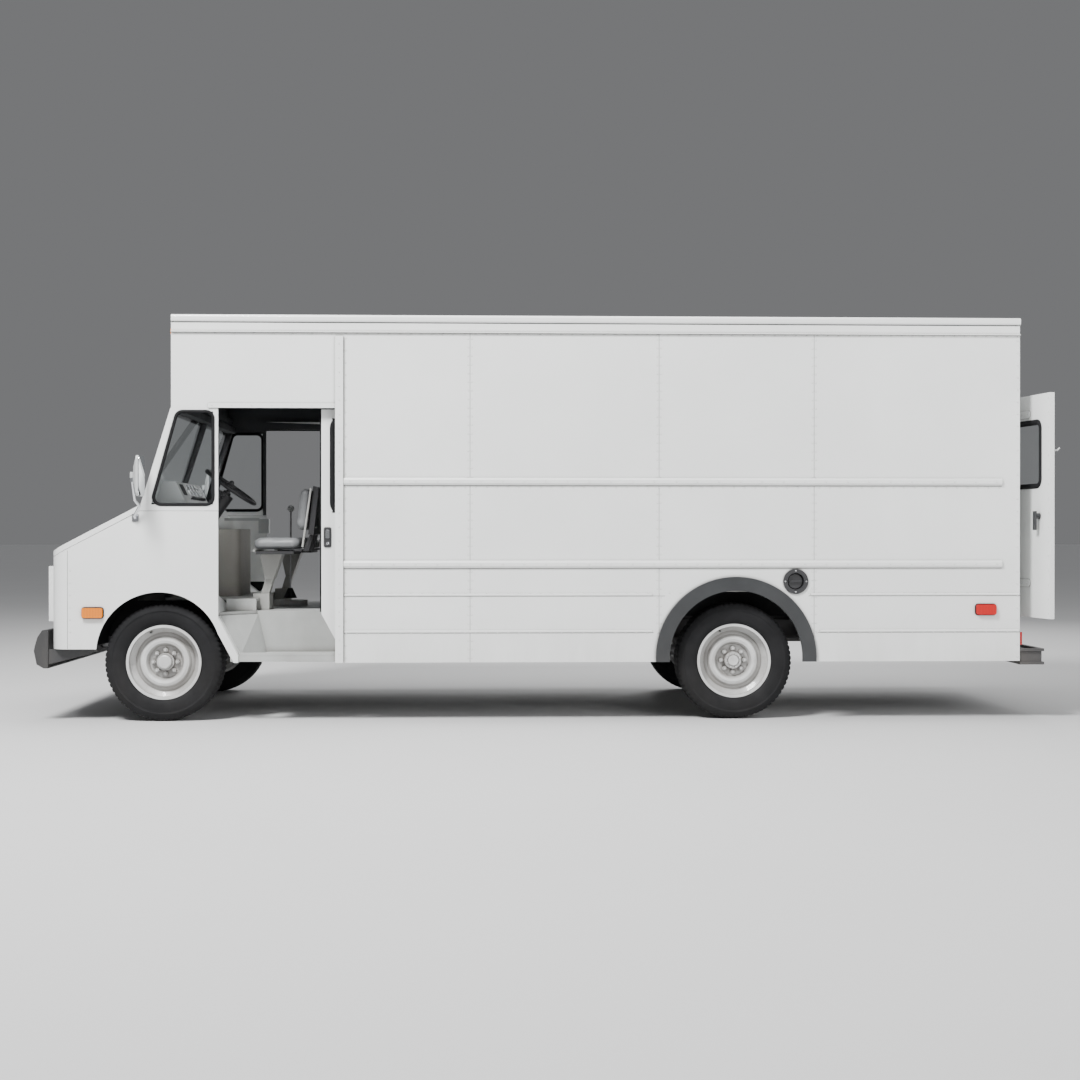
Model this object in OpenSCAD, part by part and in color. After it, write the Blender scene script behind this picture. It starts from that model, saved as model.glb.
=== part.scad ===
// Walk-in mail delivery truck: aluminium van body on a ladder-frame chassis.
// Millimetres. +X is rearward, +Z is up, the truck's left side faces -Y.
// The origin is on the ground, under the middle of the overall length and width.

/* [Chassis] */
// Distance between the front and rear axles
wheelbase = 3988; // [3800:10:4300]
// Outer radius of the tyres
tyre_r = 410; // [400:1:420]
// Section width of the tyres
tyre_w = 226; // [215:1:235]
// Radius of the wheel rim's flange
rim_r = 260; // [255:1:262]
// Gap from the body side inward to the front tyre's outer face
front_inset = 50; // [45:1:60]
// Gap from the body side inward to the rear tyre's outer face
rear_inset = 70; // [60:1:80]
// Distance from the centre line to the outer face of a frame rail
rail_y = 430; // [420:1:440]
// Height of the underside of the frame rails
rail_z = 500; // [490:1:510]
// Height of a frame rail's section
rail_h = 160; // [150:1:170]

/* [Body] */
// Width over the body sides
body_w = 2388; // [2370:1:2400]
// Height of the roof's outer edge
roof_z = 2811; // [2790:1:2830]
// Height of the drip rail under the roof edge
drip_z = 2704; // [2690:1:2710]
// Height of the lower edge of the body side
skirt_z = 410; // [405:1:415]
// Height of the cargo and cab floor
floor_z = 755; // [750:1:760]
// Body behind the rear axle
rear_overhang = 2008; // [1980:1:2030]
// Thickness of the outer skins
skin_t = 4; // [3:0.5:5]

/* [Nose] */
// Front face of the nose, ahead of the front axle
nose_front = 769; // [760:1:780]
// Height of the nose's lower edge
nose_z = 507; // [500:1:515]
// Height of the nose where the hood starts
nose_top_z = 1179; // [1170:1:1190]
// Windshield's foot, ahead of the front axle
glass_foot_x = 150; // [145:1:155]
// Height of the windshield's foot
glass_foot_z = 1504; // [1500:1:1510]
// Windshield's top edge, behind the front axle
glass_top_x = 65; // [62:1:68]
// Height of the windshield's top edge
glass_top_z = 2191; // [2185:1:2195]

/* [Doors] */
// Front jamb of the sliding doorway, behind the front axle
door_front = 388; // [386:1:390]
// Rear edge of the sliding doorway, behind the front axle
door_rear = 1196; // [1190:1:1200]
// Height of the head of the sliding doorway
door_head_z = 2176; // [2170:1:2180]
// Top of the doorway's sill
sill_z = 480; // [478:1:484]
// How far a sliding door has been pushed back from its closed place
door_slid = 706; // [700:1:708]
// Half the width of the rear doorway
rear_door_w = 680; // [670:1:690]
// Height of the rear doorway's lower edge
rear_door_z = 708; // [704:1:712]
// Height of the rear doorway's upper edge
rear_door_top = 2290; // [2280:1:2300]
// How far each rear door stands open, in degrees
rear_open = 171; // [168:1:172]

/* [Hidden] */
$fn = 48;
e = 0.2; // joint gap left between riveted pieces of one sub-part
half_w = body_w/2;
bumper_front = 887; // front bumper ahead of the front axle
hook_rear = 6224.5; // rearmost point, the hooks of the open rear doors
mid = (hook_rear - bumper_front)/2; // middle of the overall length, behind the front axle
body_rear = wheelbase + rear_overhang;
front_y = half_w - front_inset - tyre_w/2; // middle planes of the tyres
rear_y = half_w - rear_inset - tyre_w/2;
axle_z = tyre_r;
kingpin_y = 870;
spindle_r = 25;
fit = 0.05; // radial running fit of a shaft in its bore
pin_x = body_rear + 24; // rear door hinge pins
pin_y = rear_door_w + 10;
glass_t = 6;
rake = atan2(glass_top_x + glass_foot_x, glass_top_z - glass_foot_z); // windshield from upright
hood_rake = atan2(glass_foot_z - nose_top_z, nose_front - glass_foot_x);
well_y = 850; // inner wall of the step wells
arch_r = 430; // front wheel arch
arch_x = -20;
arch_z = 470;
flare_r = 563.5; // rear wheel arch flare
flare_z = 440;
flare_in = 467;
platform_z = 840; // raised floor at the driver's feet
platform_end = 550; // ahead of the seat bases
platform_tip = 600; // outboard of them
wheel_x = 372; // steering wheel's hub
wheel_z = 1645;
wheel_y = -555;
column_rake = 55; // steering column from level
seat_y = 575;
lever_x = 735;
lever_z = 806; // gear lever's pivot
strap_z = [955, 2154]; // rear door hinges
wiper_y = 560;
brake_y = -470;
accelerator_y = -350;

// --- helpers ---

// Places children, which are drawn from the front axle, in the part's frame.
module from_axle() { translate([-mid, 0, 0]) children(); }

// Draws children on the left and again, mirrored, on the right.
module both_sides() {
    children();
    mirror([0, 1, 0]) children();
}

// A flat outline in X and Z, made solid from y0 to y1.
module slab_xz(y0, y1) {
    translate([0, y1, 0]) rotate([90, 0, 0]) linear_extrude(y1 - y0) children();
}

// A flat outline in Y and Z, made solid from x0 to x1.
module slab_yz(x0, x1) {
    translate([x0, 0, 0]) rotate([90, 0, 90]) linear_extrude(x1 - x0) children();
}

// A box between two corners.
module box(a, b) { translate(a) cube([b[0] - a[0], b[1] - a[1], b[2] - a[2]]); }

// A round bar between two points.
module rod(a, b, r) {
    d = b - a;
    h = norm(d);
    translate(a) rotate([0, acos(d[2]/h), atan2(d[1], d[0])]) cylinder(h = h, r = r);
}

// A bent round bar through a list of points, a little thicker at each bend.
module bent_rod(p, r) {
    for (i = [0 : len(p) - 2]) rod(p[i], p[i + 1], r);
    for (i = [1 : len(p) - 2]) translate(p[i]) sphere(r = r + 0.8);
}

// A rectangle with round corners between two corners.
module round_rect(a, b, r) {
    for (x = [a[0] + r, b[0] - r]) for (y = [a[1] + r, b[1] - r]) translate([x, y]) circle(r);
    translate([a[0] + r, a[1]]) square([b[0] - a[0] - 2*r, b[1] - a[1]]);
    translate([a[0], a[1] + r]) square([b[0] - a[0], b[1] - a[1] - 2*r]);
}

// A box standing on XZ with round upright corners, from z0 to z1.
module round_box(a, b, z0, z1, r) {
    translate([0, 0, z0]) linear_extrude(z1 - z0) round_rect(a, b, r);
}

// A disc or tube along Y from y0 to y1, centred at x and z.
module disc_y(x, z, r, y0, y1) {
    translate([x, y1, z]) rotate([90, 0, 0]) cylinder(h = y1 - y0, r = r);
}

// --- chassis ---

cross_x = [-750, 1340, 2300, 3250, 4680, 5880]; // cross members

module rail() {
    slab_yz(-760, body_rear - 60) difference() {
        translate([-rail_y, rail_z]) square([70, rail_h]);
        translate([-rail_y + 8, rail_z + 8]) square([70, rail_h - 16]);
    }
}

module chassis_frame() {
    color("dimgray") from_axle() {
        both_sides() rail();
        for (x = cross_x)
            box([x, -rail_y + 8 + e, rail_z + 12], [x + 60, rail_y - 8 - e, rail_z + rail_h - 12]);
        // spring hangers
        both_sides() for (x = [-600, 600]) {
            box([x - 30, -510, 491], [x + 30, -rail_y - e, 600]);
            box([wheelbase + x - 30, -530, 549], [wheelbase + x + 30, -rail_y - e, 620]);
        }
    }
}

module front_bumper() {
    h = 160;
    color("black") from_axle() {
        difference() {
            slab_xz(-1150, 1150)
                polygon([[-887, 493], [-868, 400], [-820, 372], [-790, 372], [-790, 640],
                    [-830, 636], [-862, 590], [-880, 530]]);
            slab_xz(-1140, 1140) polygon([[-800, 382], [-785, 382], [-785, 628], [-800, 628]]);
        }
        both_sides() box([-790 + e, -rail_y, rail_z], [-760 - e, -rail_y + 70, rail_z + 120]);
        both_sides() slab_xz(-1140, -1125)
            polygon([[-789, 400], [-500, 470], [-470, 505], [-789, 505]]);
    }
}

module rear_bumper() {
    color("dimgray") from_axle() {
        // two flanges with a recessed web between them
        box([body_rear + 2, -half_w, 384], [6170, half_w, 403]);
        box([6136, -half_w, 478], [6170, half_w, 497]);
        box([6140, -half_w + 12, 403 + e], [6156, half_w - 12, 478 - e]);
        both_sides() {
            box([body_rear + 2, -half_w, 478], [6136 - e, -half_w + 30, 497]);
            box([body_rear + 2, -half_w + 12, 403 + e], [6140 - e, -half_w + 26, 478 - e]);
        }
        both_sides() box([body_rear - 58, -rail_y, 403 + e], [body_rear + 60, -rail_y + 70, 470]);
        box([body_rear + 2, -half_w + 31, 470 + e], [6135, half_w - 31, 480]);
    }
}

// One spring pack: leaves of falling length under the longest one.
module spring_pack(x, y, z) {
    for (i = [0:3]) {
        len = 1200 - 260*i;
        translate([x - len/2, y - 32, z - 12*i]) cube([len, 64, 11.6]);
    }
    translate([x - 20, y - 36, z - 50]) cube([40, 72, 12]);
    for (dx = [-600, 600])
        translate([x + dx, y - 32, z + 6]) rotate([-90, 0, 0]) cylinder(h = 64, r = 22);
}

module leaf_springs() {
    color("gray") from_axle() both_sides() {
        spring_pack(0, -480, 462);
        spring_pack(wheelbase, -500, 520);
        box([wheelbase - 60, -532, 461], [wheelbase + 60, -468, 469.6]);
    }
}

module front_axle_beam() {
    color("dimgray") from_axle() difference() {
        union() {
            box([-40, -800, 340], [40, 800, 360]);
            box([-8, -800, 360], [8, 800, 392]);
            box([-40, -800, 392], [40, 800, 411]);
            both_sides() translate([0, -kingpin_y, axle_z - 40]) cylinder(h = 80, r = 44);
            both_sides() box([-34, -835, 340], [34, -790, 411]);
        }
        both_sides() translate([0, -kingpin_y, axle_z - 60]) cylinder(h = 120, r = 18 + fit);
    }
}

module rear_axle_housing() {
    color("dimgray") from_axle() translate([wheelbase, 0, axle_z]) {
        rotate([90, 0, 0]) cylinder(h = 2*(rear_y - 90), r = 48, center = true);
        rotate([90, 0, 0]) cylinder(h = 150, r = 165, center = true);
        translate([-240, 0, 0]) rotate([0, 90, 0]) cylinder(h = 120, r = 70);
        both_sides() translate([0, -rear_y + 92, 0]) rotate([90, 0, 0])
            cylinder(h = 120, r = spindle_r);
        both_sides() translate([0, -rear_y + 130, 0]) rotate([90, 0, 0]) cylinder(h = 12, r = 150);
    }
}

shaft_front = 1560;
shaft_rear = 3742;

module driveshaft() {
    color("silver") from_axle() {
        rod([shaft_front, 0, axle_z], [shaft_rear, 0, axle_z], 42);
        rod([shaft_front, 0, axle_z], [shaft_front + 60, 0, axle_z], 55);
        rod([shaft_rear - 60, 0, axle_z], [shaft_rear, 0, axle_z], 55);
    }
}

module engine() {
    color("slategray") from_axle() {
        round_box([-420, -170], [300, 170], 470, 700, 30);
        both_sides() translate([0, -105, 700]) rotate([45, 0, 0])
            box([-380, -75, -20], [260, 75, 160]);
        round_box([-250, -90], [150, 90], 700 + e, 960, 40);
        translate([-60, 0, 960 + e]) cylinder(h = 90, r = 150);
        round_box([302, -150], [700, 150], 430, 680, 40);
        round_box([702, -95], [1300, 95], 330, 560, 40);
        rod([1302, 0, axle_z], [shaft_front - 2, 0, axle_z], 48);
        rod([-490, 0, 620], [-422, 0, 620], 26);
    }
}

fan_x = -520;

module engine_fan() {
    color("gray") from_axle() translate([fan_x, 0, 620]) {
        rotate([0, 90, 0]) cylinder(h = 28, r = 45);
        for (a = [0:60:300]) rotate([a, 0, 0]) translate([12, -28, 40]) rotate([0, 0, 22])
            cube([5, 56, 150]);
    }
}

module radiator() {
    color("black") from_axle() {
        box([-640, -290, 560], [-580, 290, 1010]);
        both_sides() box([-645, -330, 540], [-575, -290 - e, 1040]);
        box([-645, -290, 1010 + e], [-575, 290, 1060]);
    }
}

module exhaust() {
    color("silver") from_axle() {
        rod([320, 250, 520], [1500, 250, 440], 28);
        rod([1500, 250, 440], [2100, 250, 430], 85);
        rod([2100, 250, 430], [3300, 250, 440], 28);
    }
}

module fuel_tank() {
    color("dimgray") from_axle() {
        round_box([4760, -340], [5700, 340], 440, 640, 60);
        for (x = [4900, 5520]) box([x, -350, 640 + e], [x + 50, 350, 648]);
    }
}

// --- front axle ---

arm_x = 150;

module knuckle() {
    translate([0, -kingpin_y, 0]) {
        translate([0, 0, axle_z - 85]) cylinder(h = 170, r = 18);
        for (z = [axle_z - 85, axle_z + 42]) {
            translate([0, 0, z]) cylinder(h = 43, r = 29);
            box([-29, -80, z], [29, 0, z + 43]);
        }
        box([-29, -80, axle_z - 60], [29, -48, axle_z + 60]);
        disc_y(0, axle_z, spindle_r, -front_y + kingpin_y - 28, -60);
        steering_arm();
    }
}

// Steering arm from the kingpin back to the tie rod's end.
module steering_arm() {
    translate([0, 0, axle_z - 93]) linear_extrude(20) polygon([[0, -25], [arm_x, 0],
        [arm_x, 40], [0, 25]]);
    translate([arm_x, 20, axle_z - 93]) cylinder(h = 20, r = 22);
}

module tie_rod() {
    color("gray") from_axle() {
        rod([arm_x, -kingpin_y + 20, 300.5], [arm_x, kingpin_y - 20, 300.5], 13);
        both_sides() translate([arm_x, -kingpin_y + 20, 286]) cylinder(h = 29, r = 22);
    }
}

module knuckle_left() { color("dimgray") from_axle() knuckle(); }
module knuckle_right() { color("dimgray") from_axle() mirror([0, 1, 0]) knuckle(); }

// --- wheels: drawn along +Z as outward, then turned ---

tyre_half = [[250, 72], [250, 82], [262, 86], [276, 100], [302, 110], [335, 113], [370, 109],
    [396, 100], [406, 90], [410, 78]];
tyre_cavity = [[395, 66], [388, 84], [368, 95], [335, 100], [300, 97], [270, 84]];

module tyre() {
    up = [for (p = tyre_half) p];
    down = [for (i = [len(tyre_half) - 1:-1:0]) [tyre_half[i][0], -tyre_half[i][1]]];
    in_low = [for (i = [len(tyre_cavity) - 1:-1:0]) [tyre_cavity[i][0], -tyre_cavity[i][1]]];
    in_up = [for (p = tyre_cavity) p];
    k = tyre_r/410;
    rotate_extrude($fn = 96) difference() {
        scale([k, 1]) polygon(concat(up, down, in_low, in_up));
        for (h = [-57, -19, 19, 57]) translate([tyre_r - 9, h - 4]) square([20, 8]);
    }
}

rim_profile = [[260, -95], [260, -87], [249.5, -87], [249.5, -60], [215, -40], [215, 14],
    [249.5, 40], [249.5, 87], [rim_r, 87], [rim_r, 95], [242, 95], [242, 46], [207, 20],
    [185, 30], [168, 48], [150, 54], [132, 48], [120, 28], [112, 14], [62, 14], [62, 4],
    [116, 4], [128, 20], [137, 40], [150, 45], [163, 40], [180, 21], [207, 8], [207, -44],
    [242, -66], [242, -95]];
lug_r = 165.1/2;

module wheel(front) {
    difference() {
        rotate_extrude($fn = 96) polygon(rim_profile);
        for (i = [0:7]) rotate(45*i) translate([lug_r, 0, 0]) cylinder(h = 30, r = 9);
    }
    difference() {
        union() {
            translate([0, 0, -68]) cylinder(h = 104, r = 61.5);
            translate([0, 0, -9]) cylinder(h = 12.8, r = 108);
            if (front) {
                translate([0, 0, 36]) cylinder(h = 36, r = 48);
                translate([0, 0, 72]) cylinder(h = 6, r1 = 48, r2 = 40);
            } else {
                translate([0, 0, 36]) cylinder(h = 16, r = 58);
                translate([0, 0, 52]) cylinder(h = 10, r = 36);
                for (i = [0:7]) rotate(45*i + 22.5) translate([48, 0, 52]) cylinder(h = 12, r = 6);
            }
        }
        translate([0, 0, -80]) cylinder(h = 115, r = spindle_r + fit);
        for (i = [0:7]) rotate(45*i) translate([lug_r, 0, -20]) cylinder(h = 40, r = 7.5);
    }
    for (i = [0:7]) rotate(45*i) translate([lug_r, 0, 0]) {
        translate([0, 0, 14.2]) cylinder(h = 20, r = 16.5, $fn = 6);
        translate([0, 0, -12]) cylinder(h = 56, r = 7.2);
    }
}

// Places a wheel or tyre at an axle: s is -1 left, 1 right.
module at_wheel(x, y, s) {
    from_axle() translate([x, s*y, axle_z]) rotate([s < 0 ? 90 : -90, 0, 0]) children();
}

module tyre_front_left() { color("black") at_wheel(0, front_y, -1) tyre(); }
module tyre_front_right() { color("black") at_wheel(0, front_y, 1) tyre(); }
module tyre_rear_left() { color("black") at_wheel(wheelbase, rear_y, -1) tyre(); }
module tyre_rear_right() { color("black") at_wheel(wheelbase, rear_y, 1) tyre(); }
module wheel_front_left() { color("gainsboro") at_wheel(0, front_y, -1) wheel(true); }
module wheel_front_right() { color("gainsboro") at_wheel(0, front_y, 1) wheel(true); }
module wheel_rear_left() { color("gainsboro") at_wheel(wheelbase, rear_y, -1) wheel(false); }
module wheel_rear_right() { color("gainsboro") at_wheel(wheelbase, rear_y, 1) wheel(false); }

// --- body structure ---

in_y = half_w - skin_t; // inner face of the side skins
pocket_y = 1100; // inner limit of the sliding doors' pockets
pocket_end = 1996;

module floor_panels() {
    color("lightgray") from_axle() {
        box([door_rear + 4, -pocket_y, floor_z - 20], [pocket_end - e, pocket_y, floor_z]);
        difference() {
            box([pocket_end, -in_y + 28, floor_z - 20], [body_rear - 44, in_y - 28, floor_z]);
            both_sides() box([wheelbase - 505, -in_y, floor_z - 30],
                [wheelbase + 505, -868, floor_z + 10]);
        }
        box([platform_end + e, -well_y, floor_z - 20], [door_rear + 4 - e, well_y, floor_z]);
        box([398, -well_y, platform_z - 20], [platform_end, well_y, platform_z]);
        // base plate of the gear lever
        round_box([lever_x - 120, -90], [lever_x + 130, 90], floor_z + e, 799, 60);
        both_sides() {
            box([-96, -596, platform_z - 20], [door_front, -304, platform_z]);
            box([door_front + e, -well_y, platform_z - 20], [398 - e, -304, platform_z]);
            box([door_front + e, -well_y, floor_z], [platform_end, -well_y + 6, platform_z - 20 - e]);
            translate([0, 0, floor_z - 20]) linear_extrude(19)
                polygon([[366, -pocket_y - 2], [366, -well_y - 1], [606, -well_y - 1]]);
            box([platform_end + e, -well_y, platform_z - 20],
                [platform_tip, -seat_y - 112, platform_z]);
            box([platform_end + e, -well_y, floor_z + e],
                [platform_tip, -well_y + 6, platform_z - 20 - e]);
            box([680, -in_y + 6, 458], [door_rear, -well_y - 7, 464]);
            // inner wall of the step well, its front edge along the slanted front wall
            slab_xz(-well_y - 6, -well_y - e) polygon([[612, floor_z], [612, 734], [675, 458],
                [door_rear, 458], [door_rear, floor_z]]);
            box([door_rear - 6, -pocket_y, 464 + e], [door_rear, -well_y - 7, floor_z]);
            box([470, -half_w + 4, 418], [door_rear, -half_w + 40, 457]);
            box([533, -half_w + 6, 457 + e], [door_rear, -half_w + 34, sill_z]);
            wheel_box();
        }
        for (x = [1700, 2600, 3300, 4650, 5400]) {
            y = x < pocket_end ? pocket_y : in_y - 32;
            box([x, -y, rail_z + rail_h + e], [x + 60, y, floor_z - 20 - e]);
        }
    }
}

// Cover of a rear wheel inside the cargo space.
module wheel_box() {
    x0 = wheelbase - 500;
    x1 = wheelbase + 500;
    top = 904;
    box([x0, -872, floor_z - 40], [x1, -866, top]);
    box([x0, -in_y + 30, top - 6], [x1, -872 - e, top]);
    for (x = [x0, x1 - 6]) box([x, -in_y + 30, floor_z - 40], [x + 6, -872 - e, top - 6 - e]);
}

post_x = [2110, 2740, 3410, 4560, 5200, 5860];

seam_x = [door_rear, 2129, 3448, 4538, body_rear]; // edges of the riveted side panels
filler_x = 4408;
filler_z = 971;

module side_panel(filler) {
    top = roof_z - 46;
    split_z = 925;
    slab_xz(-half_w, -in_y) translate([glass_top_x, door_head_z])
        square([door_rear - glass_top_x - e, top - door_head_z]);
    for (i = [0, 1, 3]) slab_xz(-half_w, -in_y) translate([seam_x[i], skirt_z])
        square([seam_x[i + 1] - seam_x[i] - e, top - skirt_z]);
    // the panel over the rear wheel, in two pieces
    difference() {
        slab_xz(-half_w, -in_y) translate([seam_x[2], split_z + e])
            square([seam_x[3] - seam_x[2] - e, top - split_z - e]);
        if (filler) disc_y(filler_x, filler_z, 62, -half_w - 10, -half_w + 20);
    }
    slab_xz(-half_w, -in_y) difference() {
        translate([seam_x[2], skirt_z]) square([seam_x[3] - seam_x[2] - e, split_z - skirt_z]);
        translate([wheelbase, flare_z]) circle(flare_in, $fn = 96);
        translate([wheelbase - flare_in, 300]) square([2*flare_in, flare_z - 300]);
        if (filler) translate([filler_x, filler_z]) circle(62);
    }
    for (x = post_x)
        box([x - 25, -in_y + e, 620], [x + 25, -in_y + 26, drip_z - e]);
    box([glass_top_x + 6, -in_y + e, drip_z], [body_rear - 45, -in_y + 30, roof_z - 30]);
    // overhead track of the sliding door
    box([door_front, -1156, 2186], [pocket_end, -1150, 2246]);
    box([door_front, -1106, 2186], [pocket_end, -1100, 2246]);
    box([door_front, -1150 + e, 2240], [pocket_end, -1106 - e, 2246]);
}

module side_panel_left() { color("white") from_axle() side_panel(true); }
module side_panel_right() { color("white") from_axle() mirror([0, 1, 0]) side_panel(false); }

module roof_panel() {
    lip = 7;
    color("white") from_axle() {
        slab_yz(glass_top_x, body_rear + 5) difference() {
            round_rect([-half_w - lip, roof_z - 45], [half_w + lip, roof_z + 12], 20);
            round_rect([-half_w + 40, roof_z - 100], [half_w - 40, roof_z + 8], 20);
            translate([-half_w - 1, roof_z - 60]) square([42, 35]);
            translate([half_w - 41, roof_z - 60]) square([42, 35]);
        }
        for (x = [glass_top_x, body_rear + 1])
            box([x, -half_w + 40 + e, roof_z - 45], [x + 4, half_w - 40 - e, roof_z + 8 - e]);
        for (x = [1150, 2110, 2740, 3410, 3985, 4560, 5200])
            box([x - 25, -half_w + 60, roof_z - 40], [x + 25, half_w - 60, roof_z + 7.8]);
    }
}

module rear_frame() {
    top = roof_z - 46;
    color("white") from_axle() {
        difference() {
            slab_yz(body_rear - 40, body_rear) {
                for (y = [-in_y + e, rear_door_w]) translate([y, skirt_z + 20])
                    square([in_y - e - rear_door_w, top - skirt_z - 20]);
                translate([-rear_door_w + e, rear_door_top])
                    square([2*rear_door_w - 2*e, top - rear_door_top]);
                translate([-rear_door_w + e, skirt_z + 100])
                    square([2*rear_door_w - 2*e, rear_door_z - skirt_z - 100]);
            }
            for (y = [-in_y + 30, rear_door_w + 30])
                box([body_rear - 41, y, 560], [body_rear - 4, y + in_y - rear_door_w - 60, 2700]);
        }
        both_sides() for (z = strap_z) {
            box([body_rear + e, -pin_y - 50, z - 70], [body_rear + 6, -pin_y - 14, z + 70]);
            for (dz = [-62, 32]) {
                box([body_rear + e, -pin_y - 50, z + dz], [body_rear + 24, -pin_y - 10, z + dz + 30]);
                translate([pin_x, -pin_y, z + dz]) cylinder(h = 30, r = 11);
            }
            translate([pin_x, -pin_y, z - 62]) cylinder(h = 124, r = 6);
        }
    }
}

// Side plate of the cab above the belt line: pillars round the quarter window.
module cab_side() {
    slab_xz(-half_w, -in_y) difference() {
        polygon([[-glass_foot_x - 8, 1464], [door_front, 1464], [door_front, door_head_z - e],
            [glass_top_x - 4, door_head_z - e]]);
        polygon([[-72, 1507], [354, 1507], [354, 2150], [107, 2150]]);
    }
    box([door_front - 26, -in_y + e, 1464], [door_front, -in_y + 34, door_head_z - e]);
}

module cab_front() {
    z0 = 1464;
    color("white") from_axle() {
        both_sides() {
            cab_side();
            // windshield pillars
            slab_xz(-in_y + e, -in_y + 60) polygon([[-glass_foot_x - 8, z0],
                [-glass_foot_x + 46, z0], [glass_top_x + 46, door_head_z - e],
                [glass_top_x - 4, door_head_z - e]]);
        }
        // centre post, foot and head of the windshield
        slab_xz(-22, 22) polygon([[-glass_foot_x + 6, 1506], [-glass_foot_x + 40, 1506],
            [glass_top_x + 36, 2149], [glass_top_x - 4, 2149]]);
        slab_xz(-in_y + 61, in_y - 61) polygon([[-glass_foot_x - 8, z0], [-glass_foot_x + 60, z0],
            [-glass_foot_x + 60, 1505], [-glass_foot_x + 5, 1505]]);
        slab_xz(-in_y + 61, in_y - 61) polygon([[glass_top_x - 12, 2150], [glass_top_x + 70, 2150],
            [glass_top_x + 70, door_head_z + 20], [glass_top_x - 4, door_head_z - e]]);
        // front of the upper box
        box([glass_top_x, -in_y + e, door_head_z + 21], [glass_top_x + 4, in_y - e, roof_z - 46]);
        box([glass_top_x + 5, -in_y + 12, 2230], [glass_top_x + 45, in_y - 12, 2270]);
    }
}

wall_z = rail_z + rail_h + 2; // foot of the wall ahead of the pedals
seam_drop = 40; // hood's side lip below the hood line
corner_r = 125; // plan radius of the nose's front corners

// Height of the hood line at x.
function hood_at(x) = nose_top_z + (x + nose_front)*tan(hood_rake);

// Everything the front wheel arch cuts away, seen from the side.
module arch_cut() {
    translate([arch_x, arch_z]) circle(arch_r, $fn = 96);
    polygon([[arch_x, arch_z], [386, 612], [494, skirt_z + 1], [494, 300],
        [arch_x - arch_r, 300], [arch_x - arch_r, arch_z]]);
}

module fender_skin() {
    x0 = -nose_front + corner_r;
    top = 1461;
    split_z = 906;
    // upper band, then the lower pieces before and behind the arch
    slab_xz(-half_w, -in_y) polygon([[x0, split_z + e], [door_front, split_z + e],
        [door_front, top], [hood_end + 3, top], [hood_end + 3, lip_end - 3],
        [x0, hood_at(x0) - seam_drop - 3]]);
    slab_xz(-half_w, -in_y) difference() {
        translate([x0, nose_z]) square([-20 - x0, split_z - nose_z]);
        arch_cut();
    }
    slab_xz(-half_w, -in_y) difference() {
        polygon([[-20 + e, split_z], [door_front, split_z], [door_front, 720], [525, 459],
            [525, skirt_z + 1], [-20 + e, skirt_z + 1]]);
        arch_cut();
    }
}

module nose_shell() {
    color("white") from_axle() {
        both_sides() {
            fender_skin();
            // front corner
            difference() {
                translate([-nose_front + corner_r, -half_w + corner_r, nose_z]) difference() {
                    cylinder(h = 800, r = corner_r);
                    translate([0, 0, -1]) cylinder(h = 802, r = corner_r - skin_t);
                    translate([-e, -corner_r - 1, -1]) cube([corner_r + 1, 2*corner_r + 2, 802]);
                    translate([-corner_r - 1, 0, -1]) cube([corner_r + 2, corner_r + 1, 802]);
                }
                translate([-nose_front, 0, nose_top_z - seam_drop - 3]) rotate([0, -hood_rake, 0])
                    translate([-400, -1400, 0]) cube([1000, 2800, 900]);
            }
            // front panel beside and between the lamps
            box([-nose_front, -half_w + corner_r + e, nose_z], [-nose_front + skin_t, -990,
                nose_top_z - 45]);
            difference() {
                box([-nose_front, -990 + e, nose_z], [-nose_front + skin_t, -e, 690]);
                box([-nose_front - 1, -rail_y - 2, nose_z - 1],
                    [-nose_front + 5, -rail_y + 72, rail_z + 122]);
            }
            box([-nose_front, -990 + e, 1078], [-nose_front + skin_t, -e, nose_top_z - 45]);
            // inner wall of the wheel housing, and its arched cover
            box([-nose_front + 5, -604, 560], [door_front - 6, -600, platform_z - 21]);
            slab_xz(-in_y + e, -605) intersection() {
                difference() {
                    translate([arch_x, arch_z]) circle(arch_r + 64, $fn = 96);
                    translate([arch_x, arch_z]) circle(arch_r + 60, $fn = 96);
                }
                polygon([[arch_x - 600, nose_z + 10], [361, nose_z + 10], [361, floor_z - e],
                    [384, floor_z - e], [384, 1100], [arch_x - 600, 1100]]);
            }
            // slanted front wall of the step well
            hull() {
                slab_xz(-pocket_y - 2, -pocket_y - 1) polygon([[381, 734], [525, 459],
                    [531, 459], [387, 734]]);
                slab_xz(-well_y - 7.5, -well_y - 7) polygon([[609, 734], [672, 459], [678, 459],
                    [615, 734]]);
            }
            slab_xz(-in_y + e, -pocket_y - 2 - e) polygon([[381, 734], [525, 459], [531, 459],
                [387, 734]]);
        }
        // brackets of the pedals' pivots
        for (y = [brake_y, accelerator_y]) for (dy = [-30, 16]) difference() {
            box([-96.8, y + dy, 1160], [-20, y + dy + 14, 1200]);
            disc_y(-40, 1180, 6 + fit, y + dy - 1, y + dy + 15);
        }
        // wall between the engine and the cab
        box([-100, -596, wall_z], [-97, -305, 1440]);
        box([-100, 305, wall_z], [-97, 596, 1440]);
        box([-100, -304, 1350], [-97, 304, 1440]);
        box([-150, -in_y + 65, 1440 + e], [door_front - 300, in_y - 65, 1446]);
    }
}

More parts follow.
